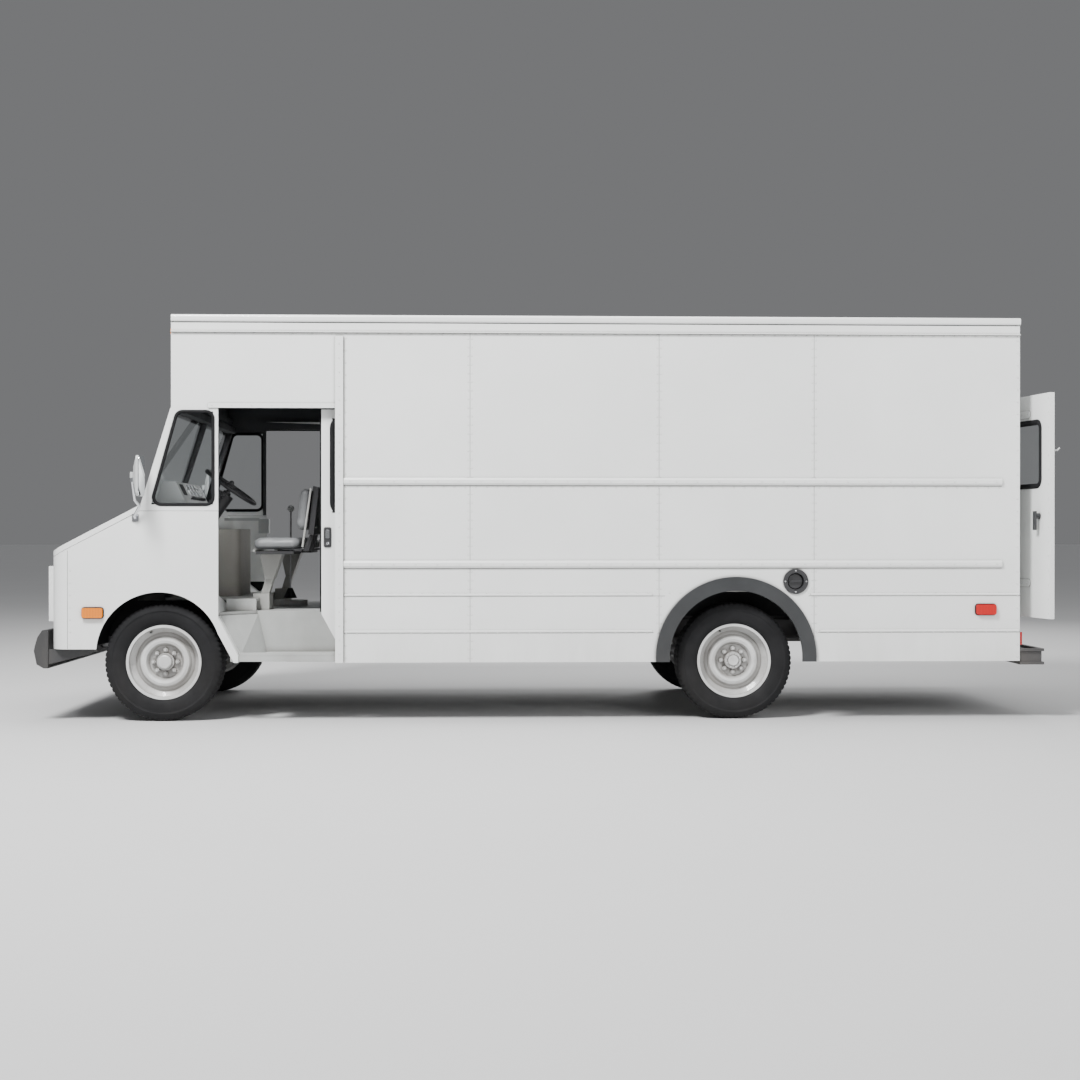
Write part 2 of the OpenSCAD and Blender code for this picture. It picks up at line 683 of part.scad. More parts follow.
module side_trim() {
    color("white") from_axle() both_sides() {
        for (z = [1065, 1641]) slab_yz(1252, 5867) polygon([[-half_w - e, z],
            [-half_w - e, z + 54], [-half_w - 10, z + 50], [-half_w - 16, z + 38],
            [-half_w - 16, z + 16], [-half_w - 10, z + 4]]);
        // cover strip over the sliding door's pocket, and the drip rails
        box([door_rear, -half_w - 20, skirt_z], [1251, -half_w - e, 2674]);
        box([glass_top_x, -half_w - 14, drip_z - 4], [body_rear, -half_w - e, drip_z + 2]);
        box([320, -half_w - 8, door_head_z], [door_rear - e, -half_w - e, 2209]);
        // rear wheel flare
        slab_xz(-half_w - 22, -half_w - e) intersection() {
            translate([wheelbase, flare_z]) difference() {
                circle(flare_r, $fn = 96);
                circle(flare_in, $fn = 96);
            }
            translate([wheelbase - 600, skirt_z]) square([1200, 700]);
        }
    }
    color("white") from_axle() filler_neck();
}

// Fuel filler on the left side: bezel ring, cup and neck.
module filler_neck() {
    difference() {
        disc_y(filler_x, filler_z, 88, -half_w - 9, -half_w - e);
        disc_y(filler_x, filler_z, 60, -half_w - 20, -half_w + 1);
    }
    difference() {
        disc_y(filler_x, filler_z, 60, -half_w - e, -half_w + 60);
        disc_y(filler_x, filler_z, 57, -half_w - 1, -half_w + 56);
        disc_y(filler_x, filler_z, 30.3, -half_w - 1, -half_w + 80);
    }
    difference() {
        disc_y(filler_x, filler_z, 30, -half_w + 56.2, -half_w + 110);
        disc_y(filler_x, filler_z, 24, -half_w + 50, -half_w + 120);
    }
}

// The nose in plan, with round front corners, shrunk by d.
module nose_plan(d) {
    x0 = -nose_front + corner_r;
    y0 = half_w - corner_r;
    for (y = [-y0, y0]) translate([x0, y]) circle(corner_r - d);
    translate([x0, -half_w + d]) square([700, 2*(half_w - d)]);
    translate([-nose_front + d, -y0]) square([700, 2*y0]);
}

hood_end = -glass_foot_x - 12;
lip_end = hood_at(hood_end) - seam_drop; // foot of the lip at the hood's rear end

module hood() {
    x0 = -nose_front;
    // hinge barrel along the rear edge
    color("white") from_axle() disc_y(hood_end, hood_at(hood_end), 3.4, -1050, 1050);
    color("white") from_axle() difference() {
        intersection() {
            slab_xz(-half_w, half_w) polygon([[x0, nose_top_z - seam_drop], [x0, nose_top_z - 6],
                [x0 + 8, hood_at(x0 + 8)], [hood_end, hood_at(hood_end)],
                [hood_end, hood_at(hood_end) - seam_drop]]);
            translate([0, 0, 1000]) linear_extrude(600) nose_plan(0);
        }
        intersection() {
            slab_xz(-half_w, half_w) polygon([[x0 + 4, nose_top_z - 99],
                [x0 + 4, nose_top_z - 8], [x0 + 10, hood_at(x0 + 10) - 5],
                [hood_end - 4, hood_at(hood_end - 4) - 5],
                [hood_end - 4, hood_at(hood_end) - 99]]);
            translate([0, 0, 1000]) linear_extrude(600) nose_plan(4);
        }
    }
}

module grille() {
    x0 = -nose_front - 60;
    color("silver") from_axle() {
        for (z = [[691, 712], [1056, 1077]]) box([x0, -985, z[0]], [-nose_front + 4, 985, z[1]]);
        both_sides() {
            box([x0, -985, 712 + e], [-nose_front + 4, -962, 1056 - e]);
            box([x0 + 6, -560, 712 + e], [-nose_front + 4, -540, 1056 - e]);
            box([-nose_front - 8, -961.8, 712 + e], [-nose_front - 4, -560.2, 1056 - e]);
        }
        for (i = [0:7]) box([x0 + 14, -539.8, 738 + 40*i], [-nose_front, 539.8, 748 + 40*i]);
    }
}

lamp_x = -nose_front - 9;

module lamps() {
    color("orange") from_axle() {
        both_sides() {
            // headlamp and turn lamp
            translate([lamp_x - 36, -850, 884]) rotate([0, 90, 0]) cylinder(h = 36, r = 88);
            box([lamp_x - 28, -740, 830], [lamp_x, -580, 938]);
            // side markers
            round_marker(-544, -401, 724, 793);
            round_marker(5682, 5824, 737, 808);
            // tail and stop lamps
            for (y = [-1150, -1040]) box([body_rear + e, y, 520], [body_rear + 32, y + 90, 610]);
            // clearance lamps over the windshield and over the rear doors
            for (y = [-1080, -180]) {
                box([glass_top_x - 26, y, 2700], [glass_top_x - e, y + 90, 2736]);
                box([body_rear + e, y, 2700], [body_rear + 26, y + 90, 2736]);
            }
        }
        box([glass_top_x - 26, -45, 2700], [glass_top_x - e, 45, 2736]);
        box([body_rear + e, -45, 2700], [body_rear + 26, 45, 2736]);
    }
}

// A rectangular side lamp with round corners.
module round_marker(x0, x1, z0, z1) {
    slab_xz(-half_w - 24, -half_w - e) round_rect([x0, z0], [x1, z1], 14);
}

// X of the windshield's outer plane at a height.
function glass_at(z) = -glass_foot_x + (z - glass_foot_z)*tan(rake);

module cab_glass() {
    color([0.7, 0.8, 0.85, 0.4]) from_axle() both_sides() {
        slab_xz(-in_y + 60 + e, -22 - e) polygon([
            [glass_at(1507) + 14, 1507], [glass_at(1507) + 20, 1507],
            [glass_at(2148) + 20, 2148], [glass_at(2148) + 14, 2148]]);
        slab_xz(-half_w - 1, -half_w + 5) polygon([[-71, 1508], [353, 1508], [353, 2149],
            [107.5, 2149]]);
    }
}

// --- sliding doors ---

slide_y0 = half_w - 82; // a door's inner face
slide_y1 = half_w - 50; // a door's outer face
slide_front = door_front + door_slid;
slide_len = 850;
slide_top = door_head_z - 6;
pane_x0 = 75; // window in a sliding door, from its front edge
pane_x1 = 720;
pane_z0 = 1450;
pane_z1 = 2110;

module sliding_door() {
    x0 = slide_front;
    slab_xz(-slide_y1, -slide_y0) difference() {
        polygon([[x0, 745], [x0 + 142, sill_z + 3], [x0 + slide_len, sill_z + 3],
            [x0 + slide_len, slide_top], [x0, slide_top]]);
        translate([x0 + pane_x0, pane_z0]) square([pane_x1 - pane_x0, pane_z1 - pane_z0]);
    }
    // hangers over the door, inside the header
    for (dx = [120, slide_len - 180]) {
        box([x0 + dx, -slide_y1 + 6, slide_top - 10], [x0 + dx + 60, -slide_y0 - 6, slide_top + 50]);
        disc_y(x0 + dx + 30, slide_top + 40, 22, -slide_y1 + 7, -slide_y0 - 7);
    }
}

module sliding_door_glass() {
    slab_xz(-slide_y1 + 10, -slide_y1 + 16)
        translate([slide_front + pane_x0 + 0.3, pane_z0 + 0.3])
        square([pane_x1 - pane_x0 - 0.6, pane_z1 - pane_z0 - 0.6]);
}

module sliding_door_left() { color("white") from_axle() sliding_door(); }
module sliding_door_right() { color("white") from_axle() mirror([0, 1, 0]) sliding_door(); }
module sliding_door_glass_left() {
    color([0.7, 0.8, 0.85, 0.4]) from_axle() sliding_door_glass();
}
module sliding_door_glass_right() {
    color([0.7, 0.8, 0.85, 0.4]) from_axle() mirror([0, 1, 0]) sliding_door_glass();
}

// --- rear doors: drawn from the hinge pin, with the door along +X and its outer face at +Y ---

rear_t = 34; // door thickness
rear_out = -20; // outer face from the pin's axis
rear_len = pin_y - 2; // free edge from the pin

// Turns a left door, drawn from its pin, to its open place.
module at_rear_pin() {
    from_axle() translate([pin_x, -pin_y, 0]) rotate([0, 0, 90 - rear_open]) mirror([0, 1, 0])
        children();
}

module rear_door() {
    z0 = rear_door_z + 4;
    z1 = rear_door_top - 4;
    translate([0, rear_out, 0]) rotate([90, 0, 0]) linear_extrude(rear_t) difference() {
        translate([14, z0]) square([rear_len - 14, z1 - z0]);
        translate([rear_len - 520, 1641]) square([390, 452]);
    }
    // strap hinges with round ends
    for (z = strap_z) {
        rotate([90, 0, 0]) translate([0, 0, 14]) linear_extrude(5.8) {
            translate([2, z - 26]) square([392, 52]);
            translate([394, z]) circle(26);
        }
        difference() {
            union() {
                translate([0, 0, z - 31]) cylinder(h = 62, r = 11);
                box([0, -19.8, z - 26], [14, -8, z + 26]);
            }
            translate([0, 0, z - 40]) cylinder(h = 80, r = 6 + fit);
        }
    }
    // hook on the inner face
    bent_rod([[rear_len - 30, rear_out - rear_t + 4, 1886],
        [rear_len - 24, rear_out - rear_t - 34, 1886],
        [rear_len - 4, rear_out - rear_t - 40, 1900]], 5);
}

module rear_door_glass() {
    translate([0, rear_out - 12, 0]) rotate([90, 0, 0]) linear_extrude(glass_t)
        translate([rear_len - 519.7, 1641.3]) square([389.4, 451.4]);
}

module rear_door_left() { color("white") at_rear_pin() rear_door(); }
module rear_door_right() { color("white") mirror([0, 1, 0]) at_rear_pin() rear_door(); }
module rear_door_glass_left() { color([0.7, 0.8, 0.85, 0.4]) at_rear_pin() rear_door_glass(); }
module rear_door_glass_right() {
    color([0.7, 0.8, 0.85, 0.4]) mirror([0, 1, 0]) at_rear_pin() rear_door_glass();
}

// Turning handle on the left rear door.
module rear_door_handle() {
    color("black") at_rear_pin() translate([rear_len - 145, rear_out + e, 1430]) {
        rotate([-90, 0, 0]) cylinder(h = 28, r = 20);
        box([-16, 28, -100], [16, 42, 34]);
    }
}

// --- cab ---

module dashboard() {
    pod = [[-92, 1447], [-70, 1537], [-20, 1670], [70, 1670], [134, 1537], [168, 1447]];
    color("silver") from_axle() {
        slab_xz(-1060, -150) difference() {
            polygon(pod);
            polygon([[-84, 1440], [-62, 1537], [-14, 1664], [66, 1664], [128, 1533],
                [150, 1500], [150, 1440]]);
        }
        for (y = [-1066, -150 + e]) slab_xz(y, y + 5.8) polygon(pod);
        slab_xz(-144, 1060) polygon([[-92, 1447], [-84, 1500], [70, 1500], [90, 1447]]);
        // switch panel standing on the far side
        box([345, 1015, 1313], [430, 1095, 1432]);
        box([60, 1030, 1418], [350, 1050, 1440]);
    }
}

// Frame of the steering column: +Z points up the column, origin at the wheel's hub.
module at_column() {
    from_axle() translate([wheel_x, wheel_y, wheel_z]) rotate([0, 90 - column_rake, 0]) children();
}

module steering_column() {
    color("black") at_column() {
        difference() {
            translate([0, 0, -270]) cylinder(h = 210, r = 60);
            translate([0, 0, -262]) cylinder(h = 240, r = 52);
            translate([0, 0, -280]) cylinder(h = 240, r = 29);
        }
        difference() {
            translate([0, 0, -760]) cylinder(h = 720, r = 30);
            translate([0, 0, -801]) cylinder(h = 770, r = 16.05);
        }
        // turn lever and its knob
        rod([0, -56, -90], [20, -210, -60], 6);
        translate([22, -222, -58]) sphere(r = 17);
    }
    // foot bracket on the wall ahead of the pedals
    color("black") from_axle() box([-96.8, wheel_y - 35, 980], [-75, wheel_y + 35, 1070]);
}

module steering_wheel() {
    color("dimgray") at_column() {
        rotate_extrude($fn = 96) translate([208, 0]) circle(14);
        cylinder(h = 20, r = 45);
        translate([0, 0, -18]) cylinder(h = 18, r = 30);
        translate([0, 0, -740]) cylinder(h = 724, r = 16);
        for (a = [-90, 0, 90]) rotate(a) box([40, -14, 2], [200, 14, 12]);
        // spinner knob on the rim
        translate([18, -208, 8]) cylinder(h = 30, r = 8);
        translate([18, -208, 42]) sphere(r = 19);
    }
}

// A floor pedal: pad on an arm from a pivot over it.
module pedal(y, w) {
    disc_y(-40, 1180, 12, y - 14, y + 14);
    disc_y(-40, 1180, 6, y - 28, y + 28);
    rod([-40, y, 1180], [55, y, 935], 9);
    translate([56, y, 930]) rotate([0, 35, 0]) box([-4, -w/2, -45], [8, w/2, 45]);
}

module brake_pedal() { color("black") from_axle() pedal(brake_y, 90); }
module accelerator_pedal() { color("black") from_axle() pedal(accelerator_y, 60); }

module engine_cover() {
    color("tan") from_axle() difference() {
        round_box([-200, -300], [395, 300], platform_z + e, 1342, 60);
        round_box([-300, -294], [389, 294], platform_z - 5, 1336, 54);
        box([-320, -400, 800], [-96, 400, 1400]);
    }
}

module seat_frame() {
    w = 240;
    translate([0, -seat_y, 0]) {
        box([555, -110, floor_z + e], [669, 110, 871]);
        slab_xz(-50, 50) polygon([[602, 871 + e], [659, 871 + e], [690, 977], [634, 977]]);
        slab_xz(-80, 80) polygon([[634, 977 + e], [694, 977 + e], [758, 1158], [596, 1158]]);
        box([590, -w + 20, 1158 + e], [860, w - 20, 1180]);
        slab_xz(-w + 30, w - 30) polygon([[962, 1300], [1000, 1300], [1038, 1640], [997, 1650]]);
        for (y = [-w + 8, w - 8]) {
            bent_rod([[575, y, 1184], [860, y, 1184], [925, y, 1215], [985, y, 1630]], 8);
            translate([575, y, 1184]) sphere(r = 8.8);
        }
        rod([575, -w + 8, 1184], [575, w - 8, 1184], 8);
        box([862, -w + 22, 1180], [915, w - 22, 1192]);
        for (y = [-150, 110]) slab_xz(y, y + 40) polygon([[916, 1180], [960, 1180],
            [996, 1299], [966, 1299]]);
    }
}

module seat_pedestals() {
    color("silver") from_axle() both_sides() seat_frame();
}

module seat_cushions() {
    w = 220;
    color("darkgray") from_axle() both_sides() translate([0, -seat_y, 0]) {
        round_box([552, -w], [912, w], 1194, 1276, 50);
        slab_xz(-w + 12, w - 12) polygon([[866, 1330], [876, 1312], [944, 1308], [954, 1330],
            [980, 1600], [975, 1630], [955, 1648], [916, 1648], [897, 1628]]);
    }
}

module gear_lever() {
    color("gray") from_axle() {
        disc_y(lever_x, lever_z, 6.5, -12, 12);
        rod([lever_x, 0, 802], [lever_x + 5, 0, 1485], 7);
        translate([lever_x + 5, 0, 1500]) sphere(r = 26);
    }
}

// Rubber boot, which moves with the lever's foot.
module gear_lever_boot() {
    color("black") from_axle() difference() {
        translate([lever_x, 0, 814]) cylinder(h = 76, r1 = 52, r2 = 18);
        translate([lever_x, 0, 800]) cylinder(h = 120, r = 8.2);
    }
}

// --- wipers and mirrors ---

wiper_z = 2172;

// On the windshield's outer plane at the left wiper's pivot: -X points outward.
module at_wiper() {
    from_axle() translate([glass_at(wiper_z), -wiper_y, wiper_z]) rotate([0, rake, 0]) children();
}

module wiper() {
    translate([-38, 0, 0]) rotate([0, 90, 0]) cylinder(h = 24, r = 11);
    translate([-36, -9, -9]) cube([9, 30, 18]);
    translate([-34, 0, -5]) cube([5, 300, 10]);
    translate([-34, 285, -34]) cube([6, 12, 34]);
    translate([-30, 40, -36]) cube([8, 460, 8]);
    translate([-22, 40, -34]) cube([12, 460, 3]);
}

module wiper_left() { color("black") at_wiper() wiper(); }
module wiper_right() { color("black") mirror([0, 1, 0]) at_wiper() wiper(); }

ball_x = -168;
ball_y = 1340;
ball_z = 1706;

module mirror_arms() {
    color("silver") from_axle() both_sides() {
        box([-201, -half_w - 6, 1388], [-158, -half_w - e, 1441]);
        bent_rod([[-180, -half_w - 7, 1414], [-180, -half_w - 30, 1430],
            [-140, -half_w - 52, 1494], [-163, -1290, 1536], [ball_x, -ball_y, 1664]], 9);
        translate([ball_x, -ball_y, 1656]) cylinder(h = 28, r = 13);
    }
}

module mirror_head() {
    translate([0, -ball_y, 0]) {
        translate([ball_x, 0, 1685]) cylinder(h = 40, r = 16);
        rod([ball_x, 0, 1706], [-144, 0, 1706], 11);
        hull() {
            slab_yz(-124, -108) round_rect([-100, 1560], [100, 1836], 30);
            slab_yz(-150, -149) round_rect([-50, 1640], [50, 1770], 20);
        }
        slab_yz(-108, -104) round_rect([-94, 1566], [94, 1830], 26);
    }
}

module mirror_head_left() { color("gainsboro") from_axle() mirror_head(); }
module mirror_head_right() { color("gainsboro") mirror([0, 1, 0]) from_axle() mirror_head(); }

module fuel_cap() {
    color("black") from_axle() {
        disc_y(filler_x, filler_z, 50, -half_w + 14, -half_w + 50);
        disc_y(filler_x, filler_z, 23.9, -half_w + 49, -half_w + 90);
        box([filler_x - 42, -half_w + 2, filler_z - 6], [filler_x + 42, -half_w + 15, filler_z + 6]);
    }
}

chassis_frame();
front_bumper();
rear_bumper();
leaf_springs();
front_axle_beam();
rear_axle_housing();
driveshaft();
engine();
engine_fan();
radiator();
exhaust();
fuel_tank();
knuckle_left();
knuckle_right();
tie_rod();
wheel_front_left();
wheel_front_right();
wheel_rear_left();
wheel_rear_right();
tyre_front_left();
tyre_front_right();
tyre_rear_left();
tyre_rear_right();
floor_panels();
side_panel_left();
side_panel_right();
roof_panel();
rear_frame();
cab_front();
nose_shell();
side_trim();
hood();
grille();
lamps();
cab_glass();
sliding_door_left();
sliding_door_right();
sliding_door_glass_left();
sliding_door_glass_right();
rear_door_left();
rear_door_right();
rear_door_glass_left();
rear_door_glass_right();
rear_door_handle();
dashboard();
steering_column();
steering_wheel();
brake_pedal();
accelerator_pedal();
engine_cover();
seat_pedestals();
seat_cushions();
gear_lever();
gear_lever_boot();
wiper_left();
wiper_right();
mirror_arms();
mirror_head_left();
mirror_head_right();
fuel_cap();
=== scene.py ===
"""Walk-in mail delivery truck: materials, fittings, soft seats and studio round the frame."""
import math

import bmesh
import bpy
from mathutils import Matrix, Vector


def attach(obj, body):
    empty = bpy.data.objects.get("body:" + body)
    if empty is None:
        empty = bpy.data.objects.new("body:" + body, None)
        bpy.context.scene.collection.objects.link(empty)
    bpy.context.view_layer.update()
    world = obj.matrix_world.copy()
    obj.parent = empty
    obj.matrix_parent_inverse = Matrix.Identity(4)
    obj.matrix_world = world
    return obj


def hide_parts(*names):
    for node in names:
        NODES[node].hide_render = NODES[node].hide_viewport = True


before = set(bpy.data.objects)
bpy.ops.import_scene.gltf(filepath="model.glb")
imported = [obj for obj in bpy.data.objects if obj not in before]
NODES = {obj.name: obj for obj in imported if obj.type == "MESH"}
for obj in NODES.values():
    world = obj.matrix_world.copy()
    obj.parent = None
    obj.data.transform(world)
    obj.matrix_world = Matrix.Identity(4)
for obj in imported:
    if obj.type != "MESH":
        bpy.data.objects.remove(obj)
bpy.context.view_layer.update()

MID = 2.66875  # the front axle is this far ahead of the origin
HALF = 1.194  # half the body's width
WHEELBASE = 3.988
FLARE_Z = 0.44  # centre of the rear wheel flare's arc, over the rear axle
FILLER_X, FILLER_Z = 4.408, 0.971
SEAT_Y = 0.575  # middle of each seat, off the centre line
SIDES = ((-1, "left"), (1, "right"))
X_AXIS, Y_AXIS, Z_AXIS = Vector((1, 0, 0)), Vector((0, 1, 0)), Vector((0, 0, 1))


def place(x, y, z):
    """A point given from the front axle, in the row frame."""
    return Vector((x - MID, y, z))


# --- materials ---

class Graph:
    """A node material under construction."""

    def __init__(self, name):
        self.mat = bpy.data.materials.new(name)
        self.mat.use_nodes = True
        self.tree = self.mat.node_tree
        self.shader = self.tree.nodes["Principled BSDF"]
        self.coords = self.tree.nodes.new("ShaderNodeTexCoord").outputs["Object"]

    def add(self, kind, inputs=(), **settings):
        node = self.tree.nodes.new(kind)
        for key, value in settings.items():
            setattr(node, key, value)
        for key, value in dict(inputs).items():
            if isinstance(value, bpy.types.NodeSocket):
                self.tree.links.new(value, node.inputs[key])
            else:
                node.inputs[key].default_value = value
        return node

    def link(self, socket, name):
        self.tree.links.new(socket, self.shader.inputs[name])

    def noise(self, scale, detail=4.0, rough=0.55, stretch=None):
        vector = self.coords
        if stretch:
            vector = self.add("ShaderNodeMapping", {"Vector": vector, "Scale": stretch}).outputs[0]
        return self.add("ShaderNodeTexNoise", {"Vector": vector, "Scale": scale, "Detail": detail,
                                               "Roughness": rough}).outputs["Fac"]

    def spread(self, value, low, high, out_low=0.0, out_high=1.0):
        return self.add("ShaderNodeMapRange", {"Value": value, "From Min": low, "From Max": high,
                                               "To Min": out_low, "To Max": out_high}).outputs[0]

    def times(self, a, b):
        return self.add("ShaderNodeMath", {0: a, 1: b}, operation="MULTIPLY").outputs[0]

    def mix(self, fac, a, b):
        node = self.add("ShaderNodeMix", data_type="RGBA")
        for socket, value in ((node.inputs[0], fac), (node.inputs[6], a), (node.inputs[7], b)):
            if isinstance(value, bpy.types.NodeSocket):
                self.tree.links.new(value, socket)
            else:
                socket.default_value = value if socket.type == "VALUE" else (*value, 1.0)
        return node.outputs[2]

    def bump(self, height, strength, distance):
        node = self.add("ShaderNodeBump", {"Height": height, "Strength": strength,
                                           "Distance": distance})
        self.link(node.outputs[0], "Normal")


def surface(name, base, rough, metal=0.0, vary=0.06, blotch=1.6, grain=220.0, grain_depth=0.0004,
            grime=0.0, grime_top=0.9, coat=0.0, stretch=None, dirt_and_shade=(0.20, 0.18, 0.15), crevice_shade=0.0,
            reach=0.03):
    """A worn solid finish: colour blotches, fine grain, grime low down and painted shade darkening
    the hollows.
    """
    g = Graph(name)
    dark = tuple(c * (1.0 - vary) for c in base)
    light = tuple(min(1.0, c * (1.0 + vary * 0.6)) for c in base)
    blotches = g.noise(blotch, 5.0)
    colour = g.mix(g.spread(blotches, 0.3, 0.7), dark, light)
    if grime > 0.0:
        height = g.add("ShaderNodeSeparateXYZ", {0: g.coords}).outputs["Z"]
        low = g.spread(height, grime_top, 0.35)
        streaks = g.spread(g.noise(2.4, 6.0, 0.65, stretch=(1.0, 1.0, 0.25)), 0.35, 0.75)
        colour = g.mix(g.times(g.times(low, streaks), grime), colour, dirt_and_shade)
    # painted shade: ambient occlusion darkens the colour in hollows, corners and between parts,
    # towards half the tone of the grime
    if crevice_shade > 0.0:
        near = g.add("ShaderNodeAmbientOcclusion", {"Distance": reach}, samples=4).outputs["AO"]
        colour = g.mix(g.spread(near, 0.9, 0.35, 0.0, crevice_shade), colour,
                       tuple(c * 0.5 for c in dirt_and_shade))
    g.link(colour, "Base Color")
    fine = g.noise(grain, 3.0, stretch=stretch)
    g.link(g.spread(g.noise(9.0, 4.0), 0.2, 0.8, rough * 0.85, min(1.0, rough * 1.15)), "Roughness")
    g.bump(fine, 0.35, grain_depth)
    g.shader.inputs["Metallic"].default_value = metal
    g.shader.inputs["Coat Weight"].default_value = coat
    return g.mat


def clear_glass(name, tint, rough=0.03):
    g = Graph(name)
    g.link(g.spread(g.noise(6.0), 0.3, 0.8, rough, rough + 0.015), "Roughness")
    g.bump(g.noise(3.0, 2.0), 0.05, 0.0004)
    g.shader.inputs["Base Color"].default_value = (*tint, 1.0)
    g.shader.inputs["Transmission Weight"].default_value = 1.0
    g.shader.inputs["IOR"].default_value = 1.15
    return g.mat


def lens(name, tint):
    """A lamp lens with the vertical ribs of moulded plastic."""
    g = Graph(name)
    ribs = g.add("ShaderNodeTexWave", {"Vector": g.coords, "Scale": 30.0, "Distortion": 0.0},
                 bands_direction="X").outputs["Fac"]
    # painted shade: the colour darkens in each rib's trough
    shade = g.mix(g.spread(ribs, 0.0, 1.0, 0.0, 0.45), tint, tuple(c * 0.55 for c in tint))
    g.link(shade, "Base Color")
    g.bump(ribs, 0.5, 0.0015)
    g.shader.inputs["Roughness"].default_value = 0.15
    g.shader.inputs["Coat Weight"].default_value = 0.6
    return g.mat


def vinyl(name, base):
    """Grained seat vinyl."""
    g = Graph(name)
    cells = g.add("ShaderNodeTexVoronoi", {"Vector": g.coords, "Scale": 420.0}).outputs["Distance"]
    wear = g.spread(g.noise(7.0, 5.0), 0.35, 0.75)
    g.link(g.mix(wear, tuple(c * 0.82 for c in base), base), "Base Color")
    g.link(g.spread(wear, 0.0, 1.0, 0.42, 0.58), "Roughness")
    g.bump(cells, 0.4, 0.0006)
    return g.mat


# painted shade: ambient occlusion darkens the hollows of the white paint, the wheels, the floor,
# the engine cover and the seat metal
WHITE = surface("white_paint", (0.80, 0.81, 0.80), 0.34, vary=0.035, grime=0.30, grime_top=0.75,
                coat=0.25, grain_depth=0.0002, crevice_shade=0.85, reach=0.022)
WHITE_INNER = surface("inner_white_paint", (0.62, 0.63, 0.62), 0.5, vary=0.07, grime=0.2)
CHASSIS = surface("chassis_paint", (0.045, 0.045, 0.048), 0.6, vary=0.25, grime=0.5, grime_top=0.8,
                  dirt_and_shade=(0.12, 0.10, 0.08))
BLACK_PAINT = surface("black_paint", (0.030, 0.031, 0.034), 0.42, vary=0.15, grime=0.25)
STEEL = surface("bare_steel", (0.42, 0.42, 0.43), 0.36, metal=1.0, vary=0.12,
                stretch=(1.0, 1.0, 6.0))
CAST = surface("cast_metal", (0.17, 0.165, 0.16), 0.72, metal=0.5, vary=0.22, grain=90.0,
               grain_depth=0.002)
WHEEL = surface("wheel_paint", (0.62, 0.625, 0.62), 0.36, vary=0.16, blotch=9.0, grime=0.45,
                grime_top=0.9, coat=0.25, dirt_and_shade=(0.16, 0.13, 0.10), crevice_shade=0.9, reach=0.09)
ARCH = surface("arch_undercoat", (0.012, 0.012, 0.013), 0.85, vary=0.3, grain=120.0,
               grain_depth=0.002)
# near-black for the roof's underside, the inside of the cab's front, the inner sides high up and a
# strip at the windshield's foot
DARK_INSIDE = surface("dark_upper_inside", (0.045, 0.047, 0.050), 0.75, vary=0.15)
# dark grey of the thin strips painted as shadow under the rails and in the seams
SEAM_SHADE = surface("seam_shadow_line", (0.13, 0.13, 0.125), 0.6, vary=0.2, blotch=12.0)
RUBBER = surface("tyre_rubber", (0.010, 0.010, 0.011), 0.8, vary=0.3, blotch=5.0, grain=160.0,
                 grain_depth=0.0008, grime=0.22, grime_top=0.6, dirt_and_shade=(0.045, 0.042, 0.038))
GASKET = surface("gasket_rubber", (0.008, 0.008, 0.009), 0.8, vary=0.2, blotch=8.0)
BLACK_PLASTIC = surface("black_plastic", (0.024, 0.024, 0.026), 0.5, vary=0.15, grain=500.0)
GREY_PLASTIC = surface("grey_plastic", (0.46, 0.47, 0.47), 0.52, vary=0.08, grain=420.0)
FLARE = surface("flare_plastic", (0.026, 0.028, 0.030), 0.42, vary=0.2, blotch=5.0, grain=300.0,
                grime=0.3, grime_top=1.0, dirt_and_shade=(0.075, 0.065, 0.055))
FLOOR = surface("floor_metal", (0.40, 0.41, 0.40), 0.48, vary=0.14, blotch=3.5, grime=0.3,
                grime_top=1.4, crevice_shade=0.8, reach=0.05)
COVER = surface("beige_cover", (0.40, 0.385, 0.35), 0.6, vary=0.1, grain=340.0, crevice_shade=0.8,
                reach=0.12)
SEAT_METAL = surface("seat_metal", (0.42, 0.42, 0.40), 0.45, vary=0.1, crevice_shade=0.5, reach=0.015)
CHROME = surface("chrome_trim", (0.74, 0.75, 0.77), 0.14, metal=1.0, vary=0.04)
VINYL = vinyl("seat_vinyl", (0.20, 0.205, 0.21))
GLASS = clear_glass("glass", (0.93, 0.95, 0.95), 0.0)
for dull in (RUBBER, GASKET, DARK_INSIDE, ARCH):
    dull.node_tree.nodes["Principled BSDF"].inputs["Specular IOR Level"].default_value = 0.25
MIRROR = surface("mirror_face", (0.82, 0.84, 0.86), 0.04, metal=1.0, vary=0.02, grain_depth=0.0)
AMBER = lens("amber_lens", (0.80, 0.22, 0.015))
RED = lens("red_lens", (0.55, 0.012, 0.012))
CLEAR = lens("clear_lens", (0.72, 0.74, 0.76))
DIAL = surface("dial_face", (0.012, 0.012, 0.014), 0.35, vary=0.1)

